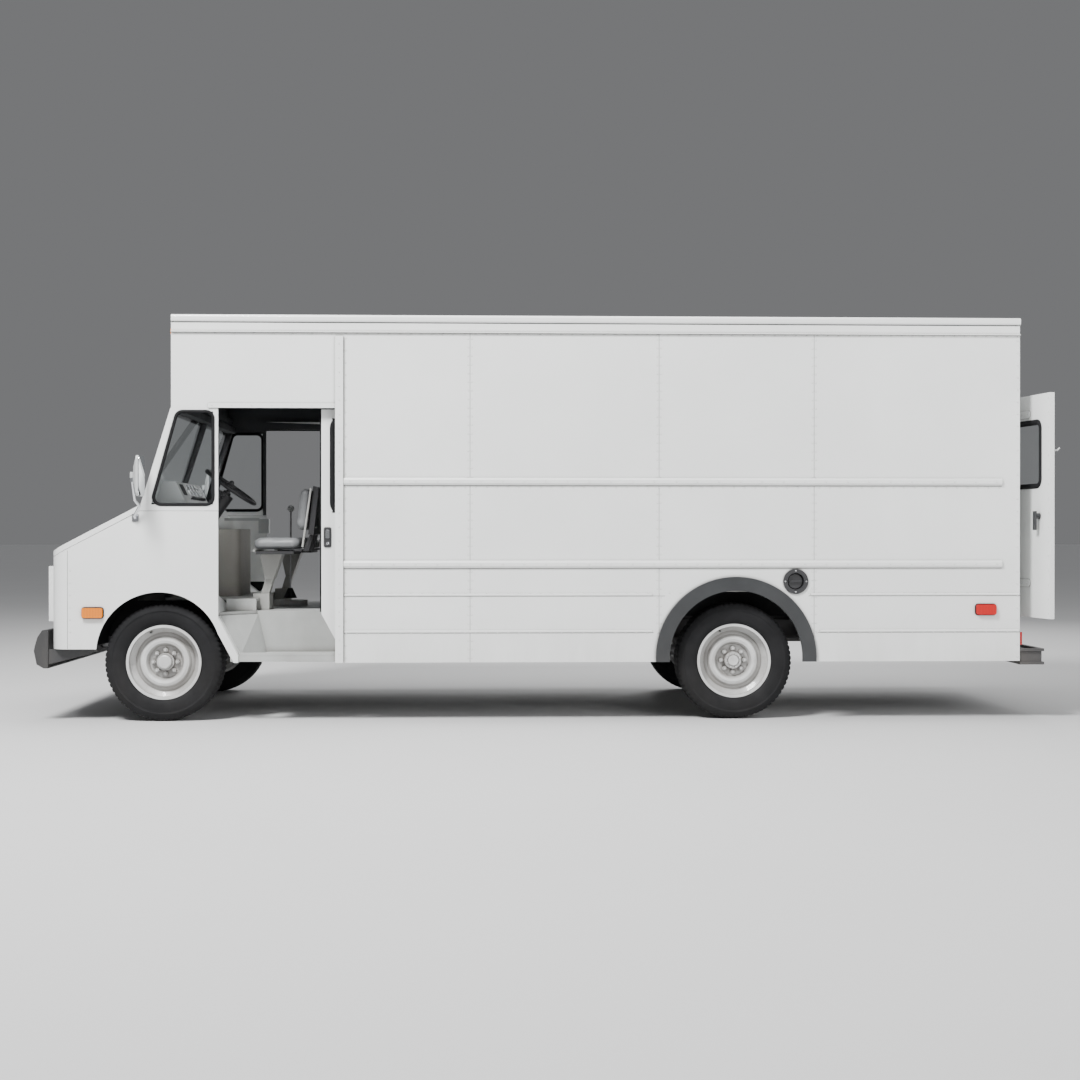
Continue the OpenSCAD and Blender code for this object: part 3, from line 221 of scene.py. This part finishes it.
NODE_MATERIALS = {
    WHITE: "side_panel_left side_panel_right roof_panel rear_frame cab_front nose_shell hood"
           " sliding_door_left sliding_door_right rear_door_left rear_door_right side_trim grille",
    CHASSIS: "chassis_frame rear_bumper fuel_tank leaf_springs front_axle_beam",
    BLACK_PAINT: "front_bumper radiator rear_door_handle brake_pedal accelerator_pedal wiper_left"
                 " wiper_right",
    STEEL: "driveshaft engine_fan exhaust tie_rod gear_lever",
    CAST: "rear_axle_housing engine knuckle_left knuckle_right",
    WHEEL: "wheel_front_left wheel_front_right wheel_rear_left wheel_rear_right",
    RUBBER: "tyre_front_left tyre_front_right tyre_rear_left tyre_rear_right",
    GLASS: "cab_glass sliding_door_glass_left sliding_door_glass_right rear_door_glass_left"
           " rear_door_glass_right",
    FLOOR: "floor_panels", CHROME: "mirror_arms", AMBER: "lamps",
    GREY_PLASTIC: "dashboard mirror_head_left mirror_head_right",
    BLACK_PLASTIC: "steering_column steering_wheel fuel_cap", COVER: "engine_cover",
    SEAT_METAL: "seat_pedestals", VINYL: "seat_cushions", GASKET: "gear_lever_boot",
}
for material, names in NODE_MATERIALS.items():
    for name in names.split():
        NODES[name].data.materials.clear()
        NODES[name].data.materials.append(material)


RAKE = math.atan2(0.215, 0.687)  # lean of the windshield


def glass_at(z):
    """The windshield's distance behind the front axle at a height."""
    return -0.150 + (z - 1.504) * math.tan(RAKE)


def paint_where(node, material, test):
    """Gives a second finish to the faces of a CAD node whose centre passes the test."""
    mesh = NODES[node].data
    mesh.materials.append(material)
    index = len(mesh.materials) - 1
    for face in mesh.polygons:
        c = face.center
        if test(c.x + MID, c.y, c.z):
            face.material_index = index


paint_where("lamps", RED, lambda x, y, z: x > 5.6)
paint_where("lamps", CLEAR, lambda x, y, z: x < -0.7 and abs(y) > 0.755)
paint_where("side_trim", FLARE, lambda x, y, z: 3.40 < x < 4.58 and z < 1.01 and abs(y) > 1.19
            and math.hypot(x - WHEELBASE, z - FLARE_Z) < 0.5645)
paint_where("side_trim", BLACK_PLASTIC, lambda x, y, z: y < 0 and
            math.hypot(x - FILLER_X, z - FILLER_Z) < 0.089)
paint_where("nose_shell", ARCH, lambda x, y, z: 0.55 < abs(y) < 1.191 and -0.76 < x < 0.40
            and z < 0.97 and math.hypot(x + 0.020, z - 0.470) < 0.492)
paint_where("nose_shell", FLOOR, lambda x, y, z: 0.385 < x < 0.70 and 0.85 < abs(y) < 1.101
            and 0.455 < z < 0.74)
paint_where("nose_shell", DARK_INSIDE, lambda x, y, z: -0.151 < x < -0.09 and abs(y) < 0.6)
paint_where("roof_panel", DARK_INSIDE, lambda x, y, z: z < 2.8185 and abs(y) < 1.15 and 0.07 < x < 5.99)
paint_where("cab_front", DARK_INSIDE, lambda x, y, z: abs(y) < 1.191 and z > 1.50 and
            x > min(0.0675, 0.010 + glass_at(z)))
paint_where("floor_panels", ARCH, lambda x, y, z: 3.4935 < x < 4.4825 and abs(y) > 0.8715
            and 0.60 < z < 0.899)
for _, label in SIDES:
    paint_where("mirror_head_" + label, MIRROR, lambda x, y, z: x > -0.109)
    paint_where("side_panel_" + label, WHITE_INNER, lambda x, y, z: abs(y) < 1.191)
    paint_where("side_panel_" + label, DARK_INSIDE, lambda x, y, z: abs(y) < 1.191
                and z > 2.16 and (x < 1.19 or z > 2.5))
paint_where("gear_lever", GREY_PLASTIC, lambda x, y, z: z > 1.475)
paint_where("seat_pedestals", BLACK_PLASTIC, lambda x, y, z: z > 1.158 and not (
    x < 1.0 and (abs(abs(abs(y) - SEAT_Y) - 0.232) < 0.0092 or x < 0.5835)))


# --- building pieces ---

def piece(name, mesh, material, body, smooth=True):
    obj = bpy.data.objects.new(name, mesh)
    bpy.context.scene.collection.objects.link(obj)
    mesh.materials.append(material)
    if smooth:
        mesh.polygons.foreach_set("use_smooth", [True] * len(mesh.polygons))
    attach(obj, body)
    return obj


def mesh_of(name, verts, faces):
    mesh = bpy.data.meshes.new(name)
    mesh.from_pydata([tuple(v) for v in verts], [], faces)
    mesh.update()
    bm = bmesh.new()
    bm.from_mesh(mesh)
    bmesh.ops.recalc_face_normals(bm, faces=bm.faces)
    bm.to_mesh(mesh)
    bm.free()
    return mesh


class Builder:
    """Collects closed shells into one mesh."""

    def __init__(self):
        self.verts = []
        self.faces = []

    def rings(self, loops, close=True, caps=False):
        """Skins a list of equal loops of points; close joins the last loop to the first."""
        start, n, m = len(self.verts), len(loops[0]), len(loops)
        for loop in loops:
            self.verts.extend(loop)
        for i in range(m if close else m - 1):
            j = (i + 1) % m
            for k in range(n):
                q = (k + 1) % n
                self.faces.append((start + i * n + k, start + i * n + q, start + j * n + q,
                                   start + j * n + k))
        if caps:
            self.faces.append(tuple(start + k for k in range(n)))
            self.faces.append(tuple(start + (m - 1) * n + k for k in range(n)))

    def turned(self, centre, axis, profile, count=20, caps=True):
        """Turns a profile of (along, radius) about an axis through centre."""
        axis = Vector(axis).normalized()
        u = axis.orthogonal().normalized()
        v = axis.cross(u)
        loops = []
        for along, radius in profile:
            turns = (2 * math.pi * k / count for k in range(count))
            loops.append([Vector(centre) + axis * along
                          + (u * math.cos(a) + v * math.sin(a)) * radius for a in turns])
        self.rings(loops, close=False, caps=caps)

    def rivet(self, centre, out, r=0.0055, h=0.0028):
        self.turned(centre, out, [(-0.001, r), (0.0006, r), (h * 0.75, r * 0.72), (h, r * 0.3)], 8)

    def slab(self, centre, u, v, size, out, depth, radius, bevel=0.0015):
        """A plate with round corners and a bevelled edge, standing depth proud along out."""
        loops = []
        for height, inset in ((0.0, 0.0), (depth - bevel, 0.0), (depth, bevel)):
            flat = rounded([(-size[0] / 2 + inset, -size[1] / 2 + inset),
                            (size[0] / 2 - inset, -size[1] / 2 + inset),
                            (size[0] / 2 - inset, size[1] / 2 - inset),
                            (-size[0] / 2 + inset, size[1] / 2 - inset)],
                           max(radius - inset, 0.0008))
            loops.append([centre + u * a + v * b + out * height for a, b in flat])
        self.rings(loops, close=False, caps=True)

    def done(self, name, material, body, slot=None, smooth=True):
        return piece(name, mesh_of(name, self.verts, self.faces), material, body, smooth)


def rounded(points, radius, steps=6):
    """A convex outline with round corners."""
    out = []
    count = len(points)
    for i in range(count):
        p = Vector(points[i])
        a = (Vector(points[i - 1]) - p).normalized()
        b = (Vector(points[(i + 1) % count]) - p).normalized()
        half = a.angle(b) / 2
        reach = radius / math.tan(half)
        centre = p + (a + b).normalized() * (radius / math.sin(half))
        start, end = p + a * reach - centre, p + b * reach - centre
        turn = math.atan2(start.x * end.y - start.y * end.x, start.dot(end))
        for k in range(steps + 1):
            t = turn * k / steps
            out.append((centre.x + start.x * math.cos(t) - start.y * math.sin(t),
                        centre.y + start.x * math.sin(t) + start.y * math.cos(t)))
    return out


def corners(x0, z0, x1, z1):
    return [(x0, z0), (x1, z0), (x1, z1), (x0, z1)]


def inset(points, distance):
    """A convex outline moved inward; a negative distance moves it outward."""
    area = sum(points[i - 1][0] * points[i][1] - points[i][0] * points[i - 1][1]
               for i in range(len(points)))
    sign = 1.0 if area > 0 else -1.0
    out = []
    for i in range(len(points)):
        p = Vector(points[i])
        a = (p - Vector(points[i - 1])).normalized()
        b = (Vector(points[(i + 1) % len(points)]) - p).normalized()
        na, nb = Vector((-a.y, a.x)) * sign, Vector((-b.y, b.x)) * sign
        mitre = (na + nb).normalized()
        out.append(tuple(p + mitre * (distance / mitre.dot(na))))
    return out


GASKET_PROFILE = ((-0.5, -0.001), (-0.42, 0.6), (0.0, 1.0), (0.42, 0.6), (0.5, -0.001))


def gasket(builder, outline, width, height, radius, to_space):
    """A moulded rubber ring along an outline; to_space maps (u, v, height) to a point."""
    loops = []
    for across, up in GASKET_PROFILE:
        flat = rounded(inset(outline, across * width), max(radius - across * width, 0.004))
        loops.append([to_space(u, v, up * height) for u, v in flat])
    builder.rings(loops)


def on_side(side, x, z, out=0.0):
    return place(x, side * (HALF + out), z)


def steps(a, b, pitch):
    count = max(1, round((b - a) / pitch))
    return [a + (b - a) * i / count for i in range(count + 1)]


# --- rivets of the body ---

SEAM_COLUMNS = ((2.129, 0.060), (3.448, 0.060), (4.538, 0.060), (5.980, 0.084), (1.268, 0.084))
ROW_HEIGHTS = ((2.690, 1.27, 5.98), (0.612, 1.27, 5.98), (1.628, 1.27, 5.85), (0.892, 1.27, 5.85))
RAILS = ((1.060, 1.124), (1.636, 1.700))
PRESSED_SEAMS = ((0.880, 1.256, 3.40), (0.880, 4.515, 5.99), (0.624, 1.256, 3.40),
                 (0.624, 4.58, 5.99))
SEAM_SECTION = ((0.0, -0.009), (0.0045, -0.007), (0.006, 0.0), (0.0045, 0.007), (0.0, 0.009))


def over_filler(x, z):
    return math.hypot(x - FILLER_X, z - FILLER_Z) < 0.10


def over_wheel(x, z):
    return math.hypot(x - WHEELBASE, z - FLARE_Z) < 0.575


for side, label in SIDES:
    out = Vector((0, side, 0))
    rivets = Builder()
    for x, pitch in SEAM_COLUMNS:
        for z in steps(0.44, 2.66, pitch):
            if any(a < z < b for a, b in RAILS) or over_wheel(x, z) or over_filler(x, z):
                continue
            for dx in ((-0.012, 0.012) if 2.0 < x < 5.0 else (0.0,)):
                rivets.rivet(on_side(side, x + dx, z), out)
    for z, x0, x1 in ROW_HEIGHTS:
        for x in steps(x0, x1, 0.075):
            if not over_wheel(x, z) and not over_filler(x, z):
                rivets.rivet(on_side(side, x, z), out)
    for x in steps(0.10, 1.17, 0.128):
        rivets.rivet(on_side(side, x, 2.690), out)
    for x in steps(0.345, 1.17, 0.128):
        rivets.rivet(on_side(side, x, 2.193, 0.008), out)
    for low, high in RAILS:
        for x in steps(1.30, 5.83, 0.15):
            rivets.rivet(on_side(side, x, (low + high) / 2, 0.016), out)
    for z in steps(0.47, 2.62, 0.10):
        rivets.rivet(on_side(side, 1.224, z, 0.020), out)
    for z in steps(0.54, 1.05, 0.085):
        rivets.rivet(on_side(side, -0.626, z), out)
    rivets.done("body_rivets_" + label, WHITE, "truck", "white_paint")

    # pressed seams along the lower side sheets
    seams = Builder()
    for z, x0, x1 in PRESSED_SEAMS:
        loops = [[on_side(side, x, z + dz, h) for h, dz in SEAM_SECTION] for x in (x0, x1)]
        seams.rings(loops, close=False, caps=True)
    seams.done("side_seams_" + label, WHITE, "truck", "white_paint", smooth=False)

    # thin dark strips painted as the shadow under the rub rails, the pressed seams and the drip
    # rail, and in the joints where the sheets meet
    shade_strips = Builder()

    def shade_line(x0, x1, z0, z1):
        shade_strips.slab(on_side(side, (x0 + x1) / 2, (z0 + z1) / 2), X_AXIS, Z_AXIS,
                     (x1 - x0, z1 - z0), out, 0.0007, 0.001, 0.0003)

    for z, x0, x1 in ((1.0615, 1.252, 5.867), (1.6375, 1.252, 5.867), (0.6125, 1.252, 3.41),
                      (0.6125, 4.565, 6.0), (0.8685, 1.252, 3.49), (0.8685, 4.50, 6.0),
                      (2.6975, 0.067, 6.0)):
        shade_line(x0, x1, z, z + 0.003)
    for x in (2.129, 3.448, 4.538):
        spans = [(0.412, 1.061), (1.120, 1.637), (1.697, 2.698)]
        if x > 3.4:
            spans[0] = (FLARE_Z + math.sqrt(0.5655 ** 2 - (x - WHEELBASE) ** 2), 1.061)
        for low, high in spans:
            shade_line(x - 0.0012, x + 0.0012, low, high)
    shade_line(-0.6455, -0.6430, 0.51, 1.19)
    shade_strips.done("seam_shadow_line_" + label, SEAM_SHADE, "truck", "white_paint", smooth=False)

# thin dark strips painted as the shadow at the seams between the roof sheets
roof_seams = Builder()
for x in (1.150, 2.110, 3.410, 4.560):
    roof_seams.slab(place(x, 0, 2.8226), X_AXIS, Y_AXIS, (0.010, 2.30), Z_AXIS, 0.0006, 0.002,
                    0.0002)
roof_seams.done("roof_seams", SEAM_SHADE, "truck", "white_paint", smooth=False)

# --- window rubbers ---

QUARTER = [(-0.072, 1.507), (0.354, 1.507), (0.354, 2.150), (0.107, 2.150)]
for side, label in SIDES:
    rubber = Builder()
    gasket(rubber, QUARTER, 0.023, 0.007, 0.05, lambda u, v, h: on_side(side, u, v, h + 0.0005))
    gasket(rubber, QUARTER, 0.023, 0.006, 0.05,
           lambda u, v, h: place(u, side * (HALF - 0.0045 - h), v))
    normal = Vector((-math.cos(RAKE), 0, math.sin(RAKE)))
    pane = corners(0.024, 1.509, 1.128, 2.146)
    gasket(rubber, pane, 0.034, 0.010, 0.06,
           lambda u, v, h: place(glass_at(v) + 0.012, side * u, v) + normal * h)
    rubber.done("cab_window_rubber_" + label, GASKET, "truck", "boot_rubber")

SLIDE_FRONT = 0.388 + 0.706  # a shut door's front edge, and its run to open
DOOR_OUT, DOOR_IN = HALF - 0.050, HALF - 0.082  # the door's two faces
HANDLE_X, HANDLE_Z = 1.137, 1.280
BEZEL_SIZE = (0.052, 0.140)
for side, label in SIDES:
    body = label + "_sliding_door"
    pane = corners(SLIDE_FRONT + 0.075, 1.450, SLIDE_FRONT + 0.720, 2.110)
    rubber = Builder()
    gasket(rubber, pane, 0.034, 0.007, 0.07, lambda u, v, h: place(u, side * (DOOR_OUT + h), v))
    gasket(rubber, pane, 0.034, 0.005, 0.07, lambda u, v, h: place(u, side * (DOOR_IN - h), v))
    rubber.done("door_window_rubber_" + label, GASKET, body, "boot_rubber")
    # edge seal along the door's leading edge
    seal = Builder()
    section = ((-0.011, -0.010), (-0.011, 0.010), (-0.004, 0.014), (0.001, 0.014), (0.001, -0.014),
               (-0.004, -0.014))
    middle = (DOOR_OUT + DOOR_IN) / 2
    seal.rings([[place(SLIDE_FRONT + a, side * (middle + b), z) for a, b in section]
                for z in (0.76, 2.16)], close=False, caps=True)
    seal.done("door_edge_seal_" + label, GASKET, body, "boot_rubber", smooth=False)
    # recessed handle: bezel, bright cup and latch
    out = Vector((0, side, 0))
    bezel = Builder()
    for face, away in ((DOOR_OUT, out), (DOOR_IN, -out)):
        bezel.slab(place(HANDLE_X, side * face, HANDLE_Z), X_AXIS, Z_AXIS, BEZEL_SIZE, away,
                   0.006, 0.012)
    bezel.done("door_handle_bezel_" + label, BLACK_PLASTIC, body, "black_plastic", smooth=False)
    latch = Builder()
    latch.slab(place(HANDLE_X, side * (DOOR_OUT + 0.006), 1.302), X_AXIS, Z_AXIS,
               (0.030, 0.060), out, 0.003, 0.008)
    latch.turned(place(HANDLE_X, side * (DOOR_OUT + 0.006), 1.238), out,
                 [(0.0, 0.010), (0.003, 0.010), (0.0042, 0.007)])
    latch.done("door_latch_" + label, CHROME, body, "chrome_trim", smooth=False)

# --- rear doors, drawn from their hinge pins ---

OPEN = math.radians(90 - 171)  # a shut door is at 90 degrees, and it has swung open 171
PIN_X, PIN_Y = 6.020, 0.690


def at_pin(side, u, v, z):
    """A point of a rear door: u along the door from the pin, v outward from its outer face."""
    y = -v
    x_turned = u * math.cos(OPEN) - y * math.sin(OPEN)
    y_turned = u * math.sin(OPEN) + y * math.cos(OPEN)
    return place(PIN_X + x_turned, side * (PIN_Y - y_turned), z)


DOOR_LEN = 0.688
for side, label in SIDES:
    body = label + "_rear_door"
    pane = corners(DOOR_LEN - 0.520, 1.641, DOOR_LEN - 0.130, 2.093)
    rubber = Builder()
    gasket(rubber, pane, 0.036, 0.008, 0.05, lambda u, v, h: at_pin(side, u, -0.020 + h, v))
    gasket(rubber, pane, 0.036, 0.006, 0.05, lambda u, v, h: at_pin(side, u, -0.054 - h, v))
    rubber.done("rear_window_rubber_" + label, GASKET, body, "boot_rubber")
    rivets = Builder()
    face_out = (at_pin(side, 0, 1, 0) - at_pin(side, 0, 0, 0)).normalized()
    for z in (0.955, 2.154):
        for u in steps(0.06, 0.38, 0.08):
            rivets.rivet(at_pin(side, u, -0.014, z), face_out, 0.008, 0.004)
    for z in steps(0.75, 2.25, 0.10):
        rivets.rivet(at_pin(side, DOOR_LEN - 0.02, -0.020, z), face_out)
    rivets.done("rear_door_rivets_" + label, WHITE, body, "white_paint")

# --- tyres ---

TYRE_R, TREAD = 0.410, 0.083
GROOVES = (-0.057, -0.019, 0.019, 0.057)
BLOCKS, PER_BLOCK = 68, 4  # tread blocks round a tyre, and sections in each
VALVE_R, VALVE_ANGLE = 0.226, 2.0
WHEELS = (("front_left", 0.0, -1.031), ("front_right", 0.0, 1.031),
          ("rear_left", WHEELBASE, -1.011), ("rear_right", WHEELBASE, 1.011))


def tyre_section(lug):
    """A tyre's section as (across, radius): lug is 1 on a tread block and 0 in a cross cut."""
    side = [(0.086, 0.2605), (0.095, 0.264), (0.101, 0.274), (0.1035, 0.279), (0.106, 0.284),
            (0.110, 0.300), (0.1125, 0.322), (0.1125, 0.343), (0.1105, 0.356), (0.1125, 0.358),
            (0.1115, 0.362), (0.107, 0.376), (0.101, 0.390 - 0.004 * (1 - lug)),
            (0.094, 0.402 - 0.008 * (1 - lug))]
    right = side + [(TREAD, TYRE_R - 0.0035 - 0.008 * (1 - lug))]
    tread = []
    for g in reversed(GROOVES):
        crown = TYRE_R - 0.0006 - 0.003 * (abs(g) / TREAD) ** 2 - 0.0045 * (1 - lug)
        tread += [(g + 0.0042, crown), (g + 0.003, TYRE_R - 0.0088), (g - 0.003, TYRE_R - 0.0088),
                  (g - 0.0042, crown)]
    left = [(-a, r) for a, r in reversed(right)]
    return right + tread + left + [(-0.070, 0.262), (0.070, 0.262)]


for name, wheel_x, wheel_y in WHEELS:
    rubber = Builder()
    loops = []
    total = BLOCKS * PER_BLOCK
    for i in range(total):
        angle = 2 * math.pi * i / total
        section = tyre_section(0.0 if i % PER_BLOCK == 0 else 1.0)
        loops.append([place(wheel_x + r * math.cos(angle), wheel_y + a,
                            TYRE_R + r * math.sin(angle)) for a, r in section])
    rubber.rings(loops)
    tyre = rubber.done("tyre_tread_" + name, RUBBER, name + "_wheel", "tyre_rubber")
    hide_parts("tyre_" + name)
    out = Vector((0, -1 if wheel_y < 0 else 1, 0))
    valve = Builder()
    base = place(wheel_x + VALVE_R * math.cos(VALVE_ANGLE), wheel_y,
                 TYRE_R + VALVE_R * math.sin(VALVE_ANGLE))
    valve.turned(base + out * 0.040, out, [(0.0, 0.006), (0.018, 0.0045), (0.030, 0.0045),
                                           (0.031, 0.0058), (0.040, 0.0058), (0.042, 0.004)])
    valve.done("valve_stem_" + name, BLACK_PLASTIC, name + "_wheel", "black_plastic")

# --- lamps, bezels and screws ---

FRONT = Vector((-1, 0, 0))
for side, label in SIDES:
    out = Vector((0, side, 0))
    bright = Builder()
    centre = place(-0.778, side * 0.850, 0.884)
    bright.turned(centre, FRONT, [(0.0, 0.1045), (0.030, 0.1045), (0.040, 0.100), (0.040, 0.0885),
                                  (0.0, 0.0885)], 48, caps=False)
    bright.turned(centre + FRONT * 0.036, FRONT, [(0.0, 0.0875), (0.004, 0.080), (0.0075, 0.050),
                                                  (0.009, 0.010)], 48)
    bright.done("headlamp_bezel_" + label, CHROME, "truck", "chrome_trim")
    dark = Builder()
    for box in (corners(-0.544, 0.724, -0.401, 0.793), corners(5.682, 0.737, 5.824, 0.808)):
        gasket(dark, box, 0.012, 0.009, 0.016, lambda u, v, h: on_side(side, u, v, h))
    dark.done("marker_rims_" + label, GASKET, "truck", "boot_rubber")

screws = Builder()
for k in range(4):
    a = math.pi / 2 * k
    screws.turned(on_side(-1, FILLER_X + 0.074 * math.cos(a), FILLER_Z + 0.074 * math.sin(a),
                          0.009), -Y_AXIS, [(0.0, 0.0062), (0.0015, 0.0055), (0.0025, 0.003)], 12)
screws.done("filler_screws", STEEL, "truck", "bare_steel")

# --- dashboard ---

PANEL_TOP, PANEL_LOW = Vector((0.070, 0, 1.670)), Vector((0.134, 0, 1.537))
panel_down = (PANEL_LOW - PANEL_TOP).normalized()
panel_out = Vector((-panel_down.z, 0, panel_down.x)).normalized()
if panel_out.x < 0:
    panel_out = -panel_out


def on_panel(y, down):
    """A point of the sloping panel, down being measured along its slope."""
    p = PANEL_TOP + panel_down * down
    return place(p.x, y, p.z)


rims, faces, knobs, vents = Builder(), Builder(), Builder(), Builder()
for y, r in ((-0.705, 0.042), (-0.590, 0.050), (-0.470, 0.050), (-0.360, 0.034), (-0.280, 0.034)):
    c = on_panel(y, 0.062)
    rims.turned(c, panel_out, [(0.0, r + 0.006), (0.006, r + 0.006), (0.008, r + 0.002),
                               (0.006, r - 0.001), (0.0, r - 0.001)], 36, caps=False)
    faces.turned(c, panel_out, [(0.0, r), (0.0035, r - 0.001)], 36)
    needle = Matrix.Rotation(0.7 + y * 3, 3, panel_out) @ panel_down
    rims.slab(c + panel_out * 0.0036 + needle * r * 0.35, needle, panel_out.cross(needle),
              (r * 0.9, 0.002), panel_out, 0.0008, 0.0008, 0.0002)
for k in range(7):
    knobs.turned(on_panel(-0.78 + 0.075 * k, 0.128), panel_out,
                 [(0.0, 0.007), (0.012, 0.007), (0.013, 0.012), (0.022, 0.011), (0.024, 0.008)])
for k in range(9):
    vents.slab(on_panel(-0.98 + 0.014 * k, 0.060), panel_down, Y_AXIS, (0.085, 0.006), panel_out,
               0.005, 0.0025)
rims.done("gauge_rims", CHROME, "truck", "chrome_trim")
faces.done("gauge_faces", DIAL, "truck", "black_plastic")
knobs.done("dash_knobs", BLACK_PLASTIC, "truck", "black_plastic")
vents.done("dash_vents", BLACK_PLASTIC, "truck", "black_plastic", smooth=False)

# --- seats: cushion and back pad, swollen by a short cloth simulation ---

def pad_shape(name, corner, u, v, out, size, levels, radius):
    """A crowned pad: rounded outlines of size (u, v), each drawn in by its own inset along out."""
    b = Builder()
    loops = []
    for height, inward in levels:
        flat = rounded([(inward, inward), (size[0] - inward, inward),
                        (size[0] - inward, size[1] - inward), (inward, size[1] - inward)],
                       max(radius - inward * 0.5, 0.01))
        loops.append([corner + u * a + v * c + out * height for a, c in flat])
    b.rings(loops, close=False, caps=True)
    return mesh_of(name, b.verts, b.faces)


LAST_FRAME = 20  # of the cloth simulation


def swell(obj, cap, voxel=0.006, pressure=4.0):
    """Remeshes a pad, blows it up a little as cloth, and limits how far each point moved."""
    bpy.context.view_layer.objects.active = obj
    remesh = obj.modifiers.new("remesh", "REMESH")
    remesh.mode, remesh.voxel_size = "VOXEL", voxel
    bpy.ops.object.modifier_apply(modifier=remesh.name)
    start = [v.co.copy() for v in obj.data.vertices]
    cloth = obj.modifiers.new("cloth", "CLOTH")
    cloth.settings.use_pressure = True
    cloth.settings.uniform_pressure_force = pressure
    cloth.settings.effector_weights.gravity = 0.0
    cloth.settings.quality = 5
    for number in range(1, LAST_FRAME + 1):
        bpy.context.scene.frame_set(number)
    final = obj.evaluated_get(bpy.context.evaluated_depsgraph_get()).data
    moved = [v.co.copy() for v in final.vertices]
    obj.modifiers.remove(cloth)
    bpy.context.scene.frame_set(1)
    for vertex, a, b in zip(obj.data.vertices, start, moved):
        step = b - a
        vertex.co = a + (step if step.length <= cap else step * (cap / step.length))
    smooth = obj.modifiers.new("smooth", "SMOOTH")
    smooth.iterations, smooth.factor = 6, 0.5
    bpy.ops.object.modifier_apply(modifier=smooth.name)
    obj.modifiers.new("sub", "SUBSURF").render_levels = 1


BACK_UP = Vector((0.094, 0, 1)).normalized()
PADS = (  # kind, lower corner, first direction, outward direction, size, levels, corner radius
    ("cushion", (0.561, 1.203), X_AXIS, Z_AXIS, (0.343, 0.416),
     ((0.0, 0.012), (0.010, 0.002), (0.034, 0.0), (0.050, 0.006), (0.061, 0.022), (0.066, 0.060)),
     0.052),
    ("back", (0.941, 1.322), BACK_UP, Vector((-BACK_UP.z, 0, BACK_UP.x)), (0.314, 0.392),
     ((0.0, 0.012), (0.010, 0.002), (0.034, 0.0), (0.050, 0.008), (0.060, 0.026), (0.064, 0.060)),
     0.050))
for side, label in SIDES:
    for kind, (x, z), first, out, size, levels, radius in PADS:
        corner = place(x, side * SEAT_Y - size[1] / 2, z)
        mesh = pad_shape(f"seat_{kind}_{label}", corner, first, Y_AXIS, out, size, levels, radius)
        obj = bpy.data.objects.new(f"seat_{kind}_{label}", mesh)
        bpy.context.scene.collection.objects.link(obj)
        mesh.materials.append(VINYL)
        for selected in bpy.context.selected_objects:
            selected.select_set(False)
        obj.select_set(True)
        swell(obj, 0.009)
        obj.data.polygons.foreach_set("use_smooth", [True] * len(obj.data.polygons))
        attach(obj, "truck")
        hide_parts("seat_cushions")

# --- shading of the flat CAD sheets ---

for obj in NODES.values():
    bevel = obj.modifiers.new("edge", "BEVEL")
    bevel.width, bevel.segments, bevel.limit_method = 0.0012, 2, "ANGLE"
    bevel.angle_limit = math.radians(35)
    bevel.use_clamp_overlap = True

# --- studio ---

floor_mesh = bpy.data.meshes.new("studio_floor")
REACH = 250.0
floor_mesh.from_pydata([(*corner, 0) for corner in corners(-REACH, -REACH, REACH, REACH)], [],
                       [(0, 1, 2, 3)])
studio = bpy.data.objects.new("studio_floor", floor_mesh)
bpy.context.scene.collection.objects.link(studio)
studio_paint = Graph("studio_grey")
FLOOR_TONE, SKY_STRENGTH = 0.54, 0.42
studio_paint.link(studio_paint.mix(studio_paint.noise(0.4), (FLOOR_TONE - 0.02,) * 3,
                                   (FLOOR_TONE + 0.02,) * 3), "Base Color")
studio_paint.shader.inputs["Roughness"].default_value = 0.8
floor_mesh.materials.append(studio_paint.mat)

world = bpy.data.worlds.new("studio_world")
bpy.context.scene.world = world
world.use_nodes = True
sky = world.node_tree.nodes["Background"]
sky.inputs["Color"].default_value = (0.80, 0.81, 0.83, 1.0)
# seen by the camera, the sky is as dim as the far floor, so that no horizon shows
rays = world.node_tree.nodes.new("ShaderNodeLightPath").outputs
seen = world.node_tree.nodes.new("ShaderNodeMath")
seen.operation = "MAXIMUM"
strength = world.node_tree.nodes.new("ShaderNodeMapRange")
strength.inputs["To Min"].default_value = SKY_STRENGTH
strength.inputs["To Max"].default_value = SKY_STRENGTH * FLOOR_TONE
world.node_tree.links.new(rays["Is Camera Ray"], seen.inputs[0])
world.node_tree.links.new(rays["Is Transmission Ray"], seen.inputs[1])
world.node_tree.links.new(seen.outputs[0], strength.inputs["Value"])
world.node_tree.links.new(strength.outputs[0], sky.inputs["Strength"])


def lamp(name, location, target, energy, size):
    data = bpy.data.lights.new(name, "AREA")
    data.energy, data.shape, data.size = energy, "SQUARE", size
    obj = bpy.data.objects.new(name, data)
    bpy.context.scene.collection.objects.link(obj)
    obj.location = location
    obj.rotation_euler = (Vector(target) - Vector(location)).to_track_quat("-Z", "Y").to_euler()


lamp("key_light", (-4.5, -7.0, 10.5), (0.0, 0.0, 1.2), 3100.0, 3.0)
lamp("fill_light", (7.0, -9.0, 4.0), (0.5, 0.0, 1.2), 520.0, 6.0)
lamp("top_light", (0.0, 1.0, 9.5), (0.0, 0.0, 1.0), 600.0, 8.0)
lamp("back_light", (3.0, 10.0, 6.5), (0.0, 0.0, 1.2), 620.0, 6.0)

camera_data = bpy.data.cameras.new("camera")
camera_data.lens, camera_data.sensor_width = 51.99, 36.0
camera_data.clip_end = 300.0
camera = bpy.data.objects.new("camera", camera_data)
bpy.context.scene.collection.objects.link(camera)
camera.location = (2.2422 - MID, -12.0525, 1.2819)
YAW, PITCH = math.radians(1.97), math.radians(-0.11)
camera.rotation_euler = (math.pi / 2 + PITCH, 0.0, -YAW)
bpy.context.scene.camera = camera
